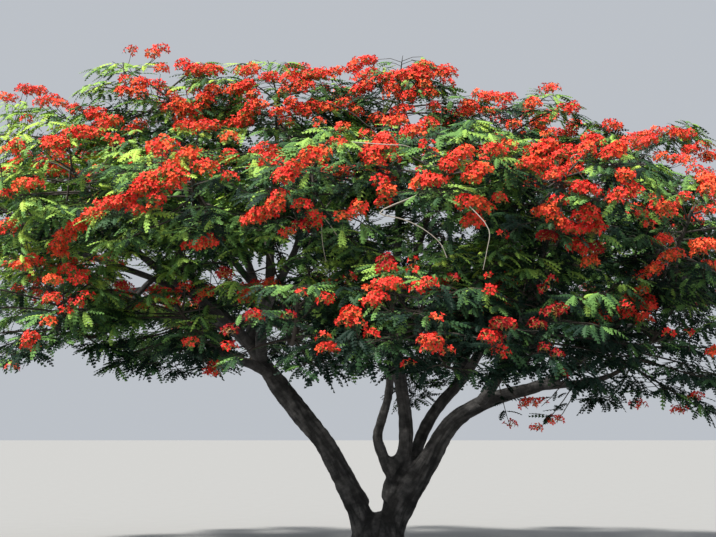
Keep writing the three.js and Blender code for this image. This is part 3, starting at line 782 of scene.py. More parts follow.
# a stem from the end of the bough, and twigs that leave it in turn all round
def growMass(limb):
    name = limb["carries"]
    at, half, seed, part = massMiddle[name], massHalf[name], masses[name][2], partOf[name]
    random, finer = seededRandom(seed), seededRandom(seed + 500)
    ahead = limb["along"][-1]
    root = limb["stations"][-1] + ahead * 0.3 * mm
    top = at + upward * half[2] * 0.3
    bend = root + ahead * np.linalg.norm(top - root) * 0.5
    stem = stems[name] = bezier([root, bend, top], np.linspace(0, 1, 3))
    stemLine = bezier([root, bend, top], np.linspace(0, 1, 7))
    addTwigLine(part, stemLine, twigSize["stemRadius"], twigSize["stemTip"])
    stemTurn = random() * math.tau
    for rule, draw in ((sourceTwigs, random), (moreTwigs, finer)):
        for k in range(rule["count"]):
            share = (k + 0.5) / rule["count"]
            rise = mix(rule["lowest"], rule["highest"], share)
            place = mix(twigSize["firstAt"], 1, share) * 2
            i = min(int(place), 1)
            start = mix(stem[i], stem[i + 1], place - i)
            turn = stemTurn + (draw() - 0.5) * 0.5
            stemTurn += goldenTurn
            out = twigSize["out"] * math.sqrt(1 - rise * rise)
            droop = mix(*rule["droop"], share) + (draw() - 0.5) * 0.4
            draw()  # the solids' rule draws once more here
            aim = at + np.array([math.cos(turn) * out, math.sin(turn) * out, rise]) * half
            heading = levelUnit(aim - start)
            direction = tilted(heading, droop)
            length = runInside(name, aim, direction, twigSize["longest"], twigSize["reach"])
            path = bezier([start, aim, aim + direction * length], np.linspace(0, 1, 6))
            if rule is moreTwigs and inOpening(path, 3).any():
                continue
            addTwigLine(part, path, twigSize["rootRadius"], twigSize["endRadius"])
            growTwiglets(name, path, heading, droop, finer)
    neighbours = [other for other in masses if other != name
                  and np.linalg.norm(massMiddle[other] - at) <= twigSize["neighbourWithin"]]
    growBridges(name, neighbours, finer)


# a twig towards every near neighbour, as far as halfway, so that the crown has no empty seams
def growBridges(name, others, random):
    at, stem = massMiddle[name], stems[name]
    for other in others:
        way = massMiddle[other] - at
        halfway = at + way * 0.5
        start = mix(stem[1], stem[2], random())
        aim = at + way * twigSize["bridgeAim"] + drawThree(random) * 0.3
        end = mix(aim, halfway, 0.9)
        path = bezier([start, aim, end], np.linspace(0, 1, 6))
        if inOpening(path).any():
            continue
        addTwigLine(partOf[name], path, twigSize["rootRadius"], twigSize["endRadius"])
        growTwiglets(name, path, levelUnit(end - start), 0.6 * unit(end - aim)[2], random, halfway)


# twigs straight from the limbs and boughs inside the crown, with steeper and longer ones off the low limbs
def growAlong(limb, random):
    carries = limb["carries"]
    line = lineOf(limb["read"], limb["thick"], 0.12, 0.98, twigSize["boughStep"])
    firstTurn = random() * math.tau
    for k, centre in enumerate(line["centres"]):
        if centre[2] < twigSize["boughFrom"]:
            continue
        for steep in (0, 1) if centre[2] < twigSize["steepBelow"] else (0,):
            turn = firstTurn + k * goldenTurn + steep * 1.3
            length = mix(twigSize["boughTwigShortest"], twigSize["boughTwigLongest"], random())
            length *= 1 + twigSize["steepLonger"] * steep
            heading = np.array([math.cos(turn), math.sin(turn), 0])
            direction = tilted(heading, 0.35 - 0.7 * random() + twigSize["steepTurn"] * steep)
            middle, end = centre + direction * length * 0.5, centre + direction * length
            path = bezier([centre, middle + upward * 0.05, end], np.linspace(0, 1, 5))
            if inOpening(path).any():
                continue
            addTwigLine(partOf[carries], path, twigSize["rootRadius"] * 0.8, twigSize["endRadius"])
            growTwiglets(carries, path, heading, direction[2], random, middle if steep else centre)


# masses further apart whose bridges close the hollow between the front of the crown and its top
longBridges = [
    ("centre_front_east", "crown_top"), ("crown_top", "centre_front_east"), ("east_front", "east_top"),
    ("centre_front_west", "centre_west_top"), ("centre_west_top", "centre_front_west"),
    ("west_front", "west_peak"),
]
for number, limb in enumerate(limbs.values()):
    growMass(limb)
    growAlong(limb, seededRandom(900 + number))
for number, (name, other) in enumerate(longBridges):
    growBridges(name, [other], seededRandom(980 + number))
print("twiglets:", len(twigletTips), "fronds drawn:", sum(len(f) for f in fronds.values()))


# Blossom: heads of flowers, each on a stalk from the nearest twig

blossomSize = {
    "jitter": 3.5, "shell": 0.95, "lower": 0.038, "headRadius": 0.075, "smallHead": 0.4,
    "fewest": 11, "most": 17, "petalLength": 0.042, "highest": 6.56,
    "stalkRadius": 0.005, "stalkFrom": 0.12, "leafyFrom": 0.32,
    "restPerMass": 10, "rearMore": 1.5, "restSpread": 0.36, "behind": 1.5,
    "rearFrom": -0.2, "topFrom": 0.25, "restReach": 0.98, "shadeTone": 0.64,
}

# crests of blossom as the front view shows them: across and down at the start, the same at the end,
# both counted as in a view 716 wide, then heads (a part of one is a small head) and how far in shade
# the shade is painted: heads further in shade take darker petal tints
crests = {
    "farWest": [
        (0, 94, 18, 95, 2, 0), (20, 89, 40, 92, 4, 0), (28, 115, 28, 115, 0.6, 0), (5, 146, 22, 138, 2, 0),
        (42, 102, 64, 98, 4, 0), (68, 108, 80, 108, 2, 0), (85, 113, 105, 110, 3, 0),
        (44, 143, 70, 134, 5, 0), (75, 132, 95, 128, 4, 0), (95, 122, 116, 117, 4, 0),
        (110, 136, 112, 136, 1, 0), (125, 127, 142, 123, 2, 0), (55, 153, 55, 153, 0.5, 0)],
    "peak": [
        (132, 48, 132, 48, 0.8, 0), (151, 54, 163, 47, 2, 0), (156, 70, 160, 68, 1, 0),
        (125, 92, 128, 78, 3, 0), (138, 94, 139, 76, 4, 0), (178, 66, 186, 61, 2, 0),
        (192, 62, 197, 73, 3, 0), (204, 70, 220, 67, 2, 0)],
    "westCrown": [
        (184, 120, 188, 98, 5, 0), (196, 116, 204, 92, 5, 0), (210, 98, 216, 84, 3, 0),
        (182, 126, 214, 122, 4, 0), (168, 104, 178, 104, 2, 0), (171, 92, 171, 92, 0.6, 0),
        (227, 85, 246, 86, 4, 0), (243, 68, 255, 65, 3, 0), (246, 76, 254, 94, 3, 0),
        (263, 77, 272, 73, 2, 0), (283, 77, 290, 72, 2, 0), (296, 80, 308, 88, 3, 0),
        (284, 92, 284, 92, 0.7, 0), (224, 124, 250, 118, 6, 0), (230, 134, 232, 136, 1, 0),
        (247, 110, 262, 98, 4, 0)],
    "saddle": [
        (276, 112, 296, 102, 5, 0), (284, 122, 288, 120, 1, 0), (298, 112, 316, 103, 5, 0),
        (318, 117, 318, 117, 0.6, 0), (324, 104, 334, 105, 2, 0), (343, 103, 358, 106, 2, 0),
        (343, 122, 343, 122, 0.7, 0), (335, 138, 335, 138, 0.7, 0), (310, 74, 342, 70, 5, 0)],
    "crest": [
        (351, 65, 370, 60, 5, 0), (358, 72, 371, 74, 2, 0), (356, 90, 378, 80, 5, 0),
        (386, 84, 395, 92, 3, 0), (386, 75, 398, 74, 2, 0), (402, 75, 425, 65, 6, 0),
        (420, 74, 428, 80, 2, 0), (410, 90, 407, 97, 2, 0), (428, 92, 428, 92, 1, 0),
        (436, 72, 452, 68, 4, 0), (452, 80, 452, 80, 0.7, 0), (394, 108, 410, 104, 2, 0),
        (430, 108, 440, 103, 1, 0), (425, 119, 435, 119, 1, 0)],
    "crestBank": [
        (374, 120, 400, 120, 5, 0), (404, 128, 418, 126, 3, 0), (363, 130, 370, 129, 0.8, 0),
        (380, 136, 392, 134, 2, 0), (371, 146, 388, 145, 4, 0), (366, 153, 376, 158, 2, 0),
        (424, 143, 424, 143, 0.6, 0.5), (381, 172, 382, 180, 1, 0.5), (386, 193, 392, 190, 1, 0),
        (377, 202, 388, 202, 1, 0), (354, 207, 362, 202, 2, 0), (342, 215, 342, 215, 0.7, 0)],
    "slants": [
        (277, 177, 300, 161, 6, 0), (302, 157, 327, 149, 4, 0), (263, 156, 272, 154, 0.7, 0.4),
        (247, 221, 254, 210, 3, 0), (260, 211, 280, 203, 4, 0), (277, 196, 288, 195, 1, 0),
        (296, 206, 308, 203, 1, 0.5), (305, 212, 315, 211, 1, 1), (302, 226, 315, 222, 2, 1),
        (288, 231, 288, 231, 0.6, 0)],
    "eastTop": [
        (462, 110, 473, 102, 4, 0), (478, 95, 514, 92, 6, 0), (487, 107, 487, 107, 0.7, 0),
        (526, 104, 535, 100, 2, 0), (518, 116, 514, 123, 1, 0), (545, 92, 559, 88, 2, 0),
        (564, 112, 577, 104, 3, 0), (604, 126, 618, 120, 2, 0), (640, 138, 660, 132, 4, 0),
        (669, 131, 688, 130, 4, 0), (685, 147, 700, 148, 3, 0), (655, 156, 666, 154, 1, 0),
        (673, 162, 690, 155, 3, 0), (704, 155, 716, 151, 3, 0), (705, 172, 712, 190, 5, 0),
        (692, 170, 700, 168, 1, 0)],
    "eastBank": [
        (418, 179, 438, 176, 6, 0), (447, 161, 468, 150, 5, 0), (470, 174, 486, 165, 5, 0),
        (486, 149, 510, 143, 4, 0), (524, 166, 540, 158, 5, 0), (532, 150, 552, 142, 6, 0),
        (544, 132, 546, 132, 0.7, 0), (560, 153, 574, 148, 2, 0), (580, 150, 592, 142, 2, 0),
        (584, 135, 598, 136, 2, 0), (603, 150, 622, 142, 6, 0), (630, 138, 634, 135, 1, 0),
        (554, 176, 562, 171, 2, 0), (576, 183, 592, 190, 5, 0.5), (556, 192, 560, 197, 1, 1),
        (620, 172, 628, 169, 2, 0), (614, 194, 634, 185, 5, 0), (663, 204, 668, 212, 2, 0),
        (684, 195, 691, 195, 0.8, 0), (640, 211, 640, 211, 0.5, 0)],
    "eastFall": [
        (456, 198, 488, 203, 5, 0), (466, 216, 480, 221, 3, 0), (540, 208, 552, 206, 3, 0),
        (556, 215, 568, 222, 3, 0), (589, 206, 597, 216, 3, 0), (576, 206, 580, 212, 1, 1),
        (568, 229, 598, 227, 6, 0.5), (570, 243, 598, 248, 6, 1), (588, 262, 595, 260, 1, 0),
        (541, 232, 555, 237, 2, 1), (503, 231, 503, 231, 0.5, 0), (494, 192, 503, 193, 0.8, 0.4)],
    "arch": [
        (58, 253, 60, 240, 3, 0), (62, 238, 72, 226, 4, 0), (72, 226, 84, 218, 3, 0),
        (86, 215, 100, 208, 3, 0), (102, 205, 120, 201, 4, 0), (120, 199, 134, 194, 3, 0),
        (137, 190, 152, 180, 5, 0), (140, 178, 154, 175, 2, 0), (160, 172, 178, 165, 3, 0),
        (172, 184, 184, 175, 4, 0), (184, 156, 195, 152, 2, 0), (192, 166, 214, 165, 3, 0),
        (228, 175, 228, 175, 0.7, 0.4), (156, 195, 160, 194, 1, 0), (130, 208, 138, 207, 1, 0),
        (153, 204, 156, 207, 0.7, 0.4), (150, 145, 165, 139, 3, 0), (172, 144, 172, 144, 0.7, 0)],
    "westEdge": [
        (15, 184, 21, 178, 2, 0), (35, 178, 35, 188, 1, 0), (3, 196, 3, 192, 1, 0), (4, 229, 15, 223, 2, 0),
        (18, 268, 24, 260, 2, 0), (27, 256, 35, 254, 1, 0), (62, 264, 66, 270, 1, 0.4),
        (52, 281, 58, 278, 1, 0), (48, 295, 52, 291, 1, 0), (75, 271, 76, 284, 1, 0),
        (86, 272, 86, 272, 0.6, 0), (100, 256, 100, 256, 0.6, 0), (70, 303, 95, 293, 2, 1),
        (65, 308, 65, 308, 0.6, 0.6), (30, 328, 28, 344, 3, 0), (44, 321, 52, 316, 1, 0),
        (12, 361, 13, 363, 0.7, 0), (115, 285, 130, 285, 1, 1.4)],
    "innerWest": [
        (190, 244, 211, 238, 3, 0), (220, 238, 220, 238, 0.5, 0.5), (222, 273, 224, 271, 0.8, 2),
        (206, 290, 213, 287, 0.6, 1.6), (197, 297, 201, 296, 0.4, 1.6), (225, 330, 233, 327, 0.9, 1),
        (227, 342, 235, 341, 0.8, 1), (189, 346, 195, 340, 1, 0.6), (205, 368, 218, 360, 2, 1),
        (247, 314, 256, 316, 1, 1.4), (290, 313, 290, 313, 0.4, 1.6)],
    "middle": [
        (380, 285, 397, 277, 4, 0), (368, 284, 370, 284, 0.6, 0), (364, 298, 380, 294, 2, 0),
        (341, 317, 352, 306, 3, 0), (357, 322, 357, 322, 0.6, 0), (366, 334, 380, 332, 0.8, 0.8),
        (317, 346, 333, 349, 2, 0), (322, 334, 322, 334, 0.5, 0), (317, 297, 330, 290, 1, 0.6),
        (301, 289, 301, 289, 0.5, 0.4), (385, 254, 386, 266, 2, 1.3), (349, 266, 352, 280, 0.5, 2),
        (414, 287, 420, 285, 0.8, 0.4), (428, 282, 436, 280, 0.8, 0.6), (414, 264, 414, 264, 0.5, 0),
        (415, 258, 415, 258, 0.4, 1), (452, 276, 452, 276, 0.5, 1.6), (424, 340, 437, 336, 3, 0),
        (428, 348, 434, 348, 1, 0), (447, 346, 451, 347, 0.6, 0), (410, 360, 411, 360, 0.4, 0.6),
        (435, 314, 435, 314, 0.5, 0)],
    "eastShade": [
        (488, 288, 492, 286, 0.7, 1.4), (490, 273, 490, 273, 0.3, 1.4), (494, 322, 508, 324, 2, 1.4),
        (481, 335, 495, 335, 2, 1), (496, 350, 506, 346, 1, 1), (540, 285, 546, 284, 0.5, 1.4),
        (553, 278, 553, 278, 0.5, 1), (546, 308, 562, 306, 2, 2), (536, 322, 542, 318, 1, 2),
        (541, 345, 547, 343, 0.6, 2), (558, 353, 558, 353, 0.6, 1.4), (552, 367, 566, 375, 0.5, 1.6)],
    "farEast": [
        (656, 241, 668, 237, 2, 0), (660, 251, 676, 253, 2, 0), (650, 262, 662, 260, 1, 0),
        (638, 272, 652, 266, 2, 0), (636, 291, 642, 286, 1, 0), (628, 303, 628, 303, 0.6, 0.4),
        (693, 239, 713, 243, 4, 0), (698, 250, 700, 250, 0.7, 0), (707, 263, 716, 259, 1, 0),
        (710, 212, 716, 206, 1, 0), (645, 225, 650, 222, 0.5, 0), (711, 346, 713, 355, 2, 0),
        (658, 333, 676, 327, 0.6, 1), (688, 331, 688, 331, 0.4, 1), (640, 400, 638, 408, 1, 1),
        (674, 407, 678, 401, 1, 0.6), (688, 390, 700, 400, 0.6, 1)],
    "hanging": [
        (526, 406, 531, 401, 1, 0), (540, 401, 540, 401, 0.6, 0.5), (548, 416, 556, 412, 0.8, 0),
        (535, 424, 535, 424, 0.6, 0), (510, 418, 512, 422, 0.6, 0.6)],
}

twigPoints = [(point, part) for part in crownParts for points, _ in twigLines[part] for point in points]
twigFinder = finderOf([point for point, part in twigPoints])
flowers = {part: [] for part in crownParts}
headPlaces = []


# the nearest corner of a twig, the part of the crown it is in, and how far away it is
def nearestTwig(place):
    nearest, number, away = twigFinder.find(place)
    return np.array(nearest), twigPoints[number][1], away


def addHead(place, shade, random, size=1):
    place[2] = min(place[2], blossomSize["highest"])
    headPlaces.append(place)
    headRadius = blossomSize["headRadius"] * mix(blossomSize["smallHead"], 1, size)
    nearest, part, away = nearestTwig(place)
    base = place - upward * headRadius * 0.7
    if away > blossomSize["stalkFrom"]:
        leafy = away > blossomSize["leafyFrom"]
        bend = mix(nearest, base, 0.55) - upward * away * 0.12
        path = bezier([nearest, bend, base], np.linspace(0, 1, 4))
        thick = blossomSize["stalkRadius"] * (1.7 if leafy else 1)
        addTwigLine(part, path, thick, blossomSize["stalkRadius"] * 0.7)
        if leafy:
            growFronds(closestMass(place), part, path[:3], levelUnit(base - nearest), random)
    count = int(mix(blossomSize["fewest"], blossomSize["most"] + 0.99, random()) * size**1.5)
    firstTurn = random() * math.tau
    colour = random() + (random() - 0.5) * 0.2
    for k in range(count):
        lift = 1 - 1.35 * (k + 0.5) / count
        ring = math.sqrt(max(1 - lift * lift, 0))
        turn = firstTurn + k * goldenTurn
        out = np.array([math.cos(turn) * ring, math.sin(turn) * ring, lift])
        spot = place + out * headRadius * mix(0.75, 1.2, random()) * (1.15, 1.15, 0.85)
        facing = unit(out + upward * 0.35 + drawThree(random) * 0.9)
        around = unit(np.cross(facing, drawThree(random) + upward * 0.01))
        petal = blossomSize["petalLength"] * mix(0.85, 1.15, random())
        # the tint mixes the head's own colour and chance with painted shade: shaded heads go darker, down to
        # crimson
        tone = colour * 0.6 + random() * 0.4 - blossomSize["shadeTone"] * shade
        tint = 1 if tone > 0.62 else 0 if tone > 0.22 else 2 if tone > -0.25 else 3  # orange down to crimson
        flowers[part].append({"place": spot, "heading": around, "facing": facing,
                              "size": (petal, petal, petal), "tint": tint, "open": random()})


crestRandom = seededRandom(77)
for rows in crests.values():
    for across, down, acrossEnd, downEnd, heads, shade in rows:
        size = min(heads, 1)
        count = max(int(heads), 1)
        for k in range(count):
            share = (k + 0.5) / count
            acrossShake = (crestRandom() - 0.5) * 2 * blossomSize["jitter"] * size
            downShake = (crestRandom() - 0.5) * 2 * blossomSize["jitter"] * size
            spot = onCrown(mix(across, acrossEnd, share) + acrossShake,
                           mix(down, downEnd, share) + downShake, blossomSize["shell"])
            addHead(spot - upward * blossomSize["lower"], shade, crestRandom, size)


# whether the front view sees a place only through leaves
def hiddenInFront(place):
    across, down = inFrontView(place[None])
    front = onCrown(across[0], down[0], blossomSize["shell"])
    away, frontAway = np.linalg.norm([place - camera["eye"], front - camera["eye"]], axis=1)
    return away > frontAway + blossomSize["behind"]


# the far side and the tops, which the front view hides, flower as thickly
restRandom = seededRandom(78)
for name in masses:
    at, half = massMiddle[name], massHalf[name]
    rear = at[1] > 0.5
    lowest = at[2] + half[2] * blossomSize["rearFrom" if rear else "topFrom"]
    upper = [end for end, mass in twigletTips
             if mass == name and end[2] > lowest and (end[1] > at[1] or not rear) and hiddenInFront(end)]
    wanted = int(blossomSize["restPerMass"] * (blossomSize["rearMore"] if rear else 1))
    for _ in range(min(wanted, len(upper))):
        end = upper.pop(int(restRandom() * len(upper)))
        heading = turned(levelUnit(end - at), math.pi / 2)
        for _ in range(2 + int(restRandom() * 3.99)):
            along, out, up = drawThree(restRandom) * blossomSize["restSpread"]
            spot = end + heading * along * 1.5 + turned(heading, -math.pi / 2) * out + upward * (0.10 + up)
            if shellOf(name, spot) < blossomSize["restReach"] and not inOpening(spot[None])[0]:
                # a little painted shade, given by chance
                addHead(spot, 0.3 * restRandom(), restRandom)


# More leafy twigs, at the west end of the skyline, by the east limb and behind the stems, as rows in the
# front view: across and down at the start, the same at the end, how many, and the depth of those inside

leafyTwigs = [
    (2, 112, 56, 114, 6, None), (6, 124, 60, 121, 6, None), (20, 134, 58, 131, 4, None),
    (2, 100, 30, 102, 3, None), (556, 372, 602, 380, 6, None), (393, 391, 458, 386, 16, 0.3),
    (402, 402, 430, 398, 10, 0.3),
]
leafyRandom = seededRandom(79)
for across, down, acrossEnd, downEnd, count, depth in leafyTwigs:
    for k in range(count):
        share = (k + leafyRandom()) / count
        place = mix(across, acrossEnd, share), mix(down, downEnd, share)
        spot = onCrown(*place, blossomSize["shell"]) if depth is None else sightAtDepth(*place, depth)
        nearest, part, away = nearestTwig(spot)
        path = bezier([nearest, mix(nearest, spot, 0.5) - upward * away * 0.1, spot], np.linspace(0, 1, 3))
        addTwigLine(part, path, twigSize["forkRadius"], twigSize["forkTip"])
        growFronds(closestMass(spot), part, path, levelUnit(spot - nearest), leafyRandom)


# Bare twigs that show in front of the leaves: their kind, their radius and their way in the front view

bareTwigs = [
    ("pale", 0.008, [(380, 213), (402, 219), (420, 227), (440, 243), (447, 258)]),
    ("pale", 0.006, [(323, 218), (322, 238), (326, 262)]),
    ("pale", 0.006, [(489, 230), (487, 250), (483, 270)]),
    ("pale", 0.007, [(571, 158), (580, 153), (590, 147)]),
    ("pale", 0.006, [(395, 145), (402, 145), (410, 147)]),
    ("dark", 0.008, [(149, 120), (152, 102), (150, 82)]),
    ("dark", 0.009, [(372, 128), (352, 113), (320, 100), (290, 88)]),
    ("dark", 0.006, [(338, 133), (330, 122), (320, 115)]),
    ("dark", 0.008, [(382, 118), (384, 103), (383, 88)]),
    ("dark", 0.006, [(400, 117), (388, 104), (372, 92)]),
    ("dark", 0.008, [(400, 120), (414, 103), (430, 83)]),
    ("dark", 0.007, [(441, 118), (442, 102), (441, 85)]),
    ("dark", 0.009, [(628, 168), (644, 156), (660, 142)]),
]
for kind, radius, way in bareTwigs:
    depth = onCrown(*way[-1], 1.0)[1]
    corners = [sightAtDepth(*place, depth) for place in way]
    nearest, part, _ = nearestTwig(corners[0])
    path = curveThrough([nearest, *corners], np.linspace(0, len(way), 4 * len(way) + 1))
    addTwigLine("pale" if kind == "pale" else part, path, radius, radius * 0.5)


# Geometry node trees: a frond, a whorl of petals, round twigs, and the scatter that deals them out

# sizes become named inputs, whole numbers and others each of their own kind
def newTree(name, sizes, extra=("Material", "NodeSocketMaterial")):
    tree = bpy.data.node_groups.new(name, "GeometryNodeTree")
    tree.interface.new_socket("Geometry", in_out="INPUT", socket_type="NodeSocketGeometry")
    for socketName, value in sizes.items():
        kind = "NodeSocketInt" if isinstance(value, int) else "NodeSocketFloat"
        tree.interface.new_socket(socketName, in_out="INPUT", socket_type=kind).default_value = value
    tree.interface.new_socket(extra[0], in_out="INPUT", socket_type=extra[1])
    tree.interface.new_socket("Geometry", in_out="OUTPUT", socket_type="NodeSocketGeometry")
    return tree, addNode(tree, "NodeGroupInput").outputs


def endTree(tree, flow, material):
    real = outOf(tree, "GeometryNodeRealizeInstances", {0: flow})
    dressed = outOf(tree, "GeometryNodeSetMaterial", {"Geometry": real, "Material": material})
    addNode(tree, "NodeGroupOutput", {0: dressed})
    return tree


def turnTo(tree, primary, secondary):
    return outOf(tree, "FunctionNodeAxesToRotation", {"Primary Axis": primary, "Secondary Axis": secondary},
                 primary_axis="X", secondary_axis="Z")


def readAttribute(tree, name, kind):
    return outOf(tree, "GeometryNodeInputNamedAttribute", {"Name": name}, data_type=kind)


# the plain mesh that a tree makes from a source object, which is then removed
def grown(name, source, tree, values):
    modifier = source.modifiers.new("grow", "NODES")
    modifier.node_group = tree
    for item in tree.interface.items_tree:
        if item.item_type == "SOCKET" and item.in_out == "INPUT" and item.name in values:
            modifier[item.identifier] = values[item.name]
    mesh = evaluatedMesh(source)
    mesh.name = name
    bpy.data.objects.remove(source)
    return mesh


frondShape = {"Pairs": 6, "Pinna Length": 0.21, "Pinna Width": 0.185, "Rib Width": 0.012, "Sag": 0.14}
pinna = {"root": 0.04, "fold": 0.25, "firstAt": 0.16, "lift": 0.16, "turn": 1.12}
# how long the pinnae are along the rib, as shares of both: at its two ends, then between them
pinnaLengths = [(0, 0.62), (1, 0.4), (0.38, 1.0), (0.8, 0.78)]
flowerShape = {"petalWidth": 0.62, "cup": 0.16, "rise": 0.45}


# pairs of leaflet blades along a rib that arches over, a metre long
def frondTree():
    tree, inputs = newTree("frondTree", frondShape)
    end = outOf(tree, "ShaderNodeCombineXYZ", {"X": 1.0, "Z": maths(tree, "MULTIPLY", inputs["Sag"], -1.0)})
    rib = outOf(tree, "GeometryNodeCurveQuadraticBezier", {
        "Resolution": 6, "Start": (0, 0, 0), "Middle": (0.55, 0, 0.05), "End": end})
    trimmed = outOf(tree, "GeometryNodeTrimCurve", {"Curve": rib, "Start": pinna["firstAt"]})
    spaced = outOf(tree, "GeometryNodeResampleCurve", {"Curve": trimmed, "Count": inputs["Pairs"]})
    turn = turnTo(tree, outOf(tree, "GeometryNodeInputTangent"), (0, 0, 1))
    share = addNode(tree, "GeometryNodeSplineParameter").outputs["Factor"]
    profile = addNode(tree, "ShaderNodeFloatCurve", {"Value": share})
    curve = profile.mapping.curves[0]
    curve.points[0].location, curve.points[1].location = pinnaLengths[:2]
    for place in pinnaLengths[2:]:
        curve.points.new(*place)
    profile.mapping.update()
    long = maths(tree, "MULTIPLY", profile.outputs[0], inputs["Pinna Length"])
    size = outOf(tree, "ShaderNodeCombineXYZ", {
        "X": long, "Y": inputs["Pinna Width"], "Z": inputs["Pinna Width"]})
    joined = addNode(tree, "GeometryNodeJoinGeometry")
    for way in (-1, 1):
        slant = outOf(tree, "FunctionNodeRotateRotation", {
            "Rotation": turn, "Rotate By": (0.0, pinna["lift"], way * pinna["turn"])}, rotation_space="LOCAL")
        placed = outOf(tree, "GeometryNodeInstanceOnPoints", {
            "Points": spaced, "Instance": inputs["Geometry"], "Rotation": slant, "Scale": size})
        tree.links.new(placed, joined.inputs[0])
    half = maths(tree, "MULTIPLY", inputs["Rib Width"], 0.5)
    one = outOf(tree, "ShaderNodeCombineXYZ", {"X": half})
    other = outOf(tree, "ShaderNodeCombineXYZ", {"X": maths(tree, "MULTIPLY", half, -1.0)})
    across = outOf(tree, "GeometryNodeCurvePrimitiveLine", {"Start": other, "End": one})
    bent = outOf(tree, "GeometryNodeResampleCurve", {"Curve": rib, "Count": 3})
    ribbon = outOf(tree, "GeometryNodeCurveToMesh", {"Curve": bent, "Profile Curve": across})
    tree.links.new(ribbon, joined.inputs[0])
    return endTree(tree, joined.outputs[0], inputs["Material"])


# petals or sepals set round a middle, the flower looking up its own Z
def whorlTree():
    tree, inputs = newTree("whorlTree", {"Count": 5, "Missing": 0, "Rise": 0.3, "Middle Radius": 0.05})
    ring = outOf(tree, "GeometryNodeMeshCircle", {
        "Vertices": inputs["Count"], "Radius": inputs["Middle Radius"]})
    number = outOf(tree, "GeometryNodeInputIndex")
    kept = outOf(tree, "FunctionNodeCompare", {2: number, 3: inputs["Missing"]},
                 data_type="INT", operation="GREATER_EQUAL")
    turn = turnTo(tree, outOf(tree, "GeometryNodeInputPosition"), (0, 0, 1))
    tip = outOf(tree, "ShaderNodeCombineXYZ", {"Y": maths(tree, "MULTIPLY", inputs["Rise"], -1.0)})
    lifted = outOf(tree, "FunctionNodeRotateRotation", {"Rotation": turn, "Rotate By": tip},
                   rotation_space="LOCAL")
    placed = outOf(tree, "GeometryNodeInstanceOnPoints", {
        "Points": ring, "Selection": kept, "Instance": inputs["Geometry"], "Rotation": lifted})
    return endTree(tree, placed, inputs["Material"])


# chains of edges made round, as thick as their thickness attribute says
def roundTree():
    tree, inputs = newTree("roundTree", {"Sides": 4})
    chain = outOf(tree, "GeometryNodeMeshToCurve", {"Mesh": inputs["Geometry"]})
    ring = outOf(tree, "GeometryNodeCurvePrimitiveCircle", {"Resolution": inputs["Sides"], "Radius": 1.0})
    pipe = outOf(tree, "GeometryNodeCurveToMesh", {
        "Curve": chain, "Profile Curve": ring, "Scale": readAttribute(tree, "thickness", "FLOAT"),
        "Fill Caps": True})
    return endTree(tree, pipe, inputs["Material"])


# a shape set on every point, turned by its heading and facing, and coloured by its tint number
def scatterTree(name, materials):
    tree, inputs = newTree(name, {}, ("Shape", "NodeSocketObject"))
    shape = addNode(tree, "GeometryNodeObjectInfo", {"Object": inputs["Shape"]}).outputs["Geometry"]
    heading, facing, size = (
        readAttribute(tree, read, "FLOAT_VECTOR") for read in ("heading", "facing", "size"))
    placed = outOf(tree, "GeometryNodeInstanceOnPoints", {
        "Points": inputs["Geometry"], "Instance": shape, "Rotation": turnTo(tree, heading, facing),
        "Scale": size})
    flow = outOf(tree, "GeometryNodeRealizeInstances", {0: placed})
    tint = readAttribute(tree, "tint", "INT")
    for number, material in enumerate(materials):
        chosen = outOf(tree, "FunctionNodeCompare", {2: tint, 3: number}, data_type="INT", operation="EQUAL")
        flow = outOf(tree, "GeometryNodeSetMaterial", {
            "Geometry": flow, "Selection": chosen, "Material": material})
    addNode(tree, "NodeGroupOutput", {0: flow})
    return tree


# Materials

# fine unevenness that every finish uses, in object space
def grainGroup():
    group = bpy.data.node_groups.new("surfaceGrain", "ShaderNodeTree")
    for name, value in (("Scale", 40.0), ("Detail", 3.0), ("Smoothest", 0.4), ("Roughest", 0.7)):
        group.interface.new_socket(name, in_out="INPUT", socket_type="NodeSocketFloat").default_value = value
    for name in ("Roughness", "Height"):
        group.interface.new_socket(name, in_out="OUTPUT", socket_type="NodeSocketFloat")
    inputs = addNode(group, "NodeGroupInput").outputs
    place = addNode(group, "ShaderNodeTexCoord").outputs["Object"]
    grain = addNode(group, "ShaderNodeTexNoise", {
        "Vector": place, "Scale": inputs["Scale"], "Detail": inputs["Detail"]})
    spread = addNode(group, "ShaderNodeMapRange", {
        "Value": grain.outputs["Fac"], "From Min": 0.3, "From Max": 0.7,
        "To Min": inputs["Smoothest"], "To Max": inputs["Roughest"]})
    addNode(group, "NodeGroupOutput", {
        "Roughness": spread.outputs[0], "Height": grain.outputs["Fac"]})
    return group


surfaceGrain = grainGroup()


def newMaterial(name, colour, grainValues, **sockets):
    material = bpy.data.materials.new(name)
    material.use_nodes = True
    tree = material.node_tree
    shader = tree.nodes["Principled BSDF"]
    shader.inputs["Base Color"].default_value = (*colour, 1)
    for socket, value in sockets.items():
        shader.inputs[socket.replace("_", " ")].default_value = value
    grain = addNode(tree, "ShaderNodeGroup", grainValues, node_tree=surfaceGrain).outputs
    tree.links.new(grain["Roughness"], shader.inputs["Roughness"])
    return material, tree, shader, grain["Height"]


def addBump(tree, shader, height, distance, strength):
    bump = outOf(tree, "ShaderNodeBump", {"Height": height, "Distance": distance, "Strength": strength})
    tree.links.new(bump, shader.inputs["Normal"])


def grainyMaterial(name, colour, scale, smoothest, roughest, depth, **sockets):
    grainValues = {"Scale": scale, "Smoothest": smoothest, "Roughest": roughest}
    material, tree, shader, height = newMaterial(name, colour, grainValues, **sockets)
    addBump(tree, shader, height, depth, 0.6)
    return material
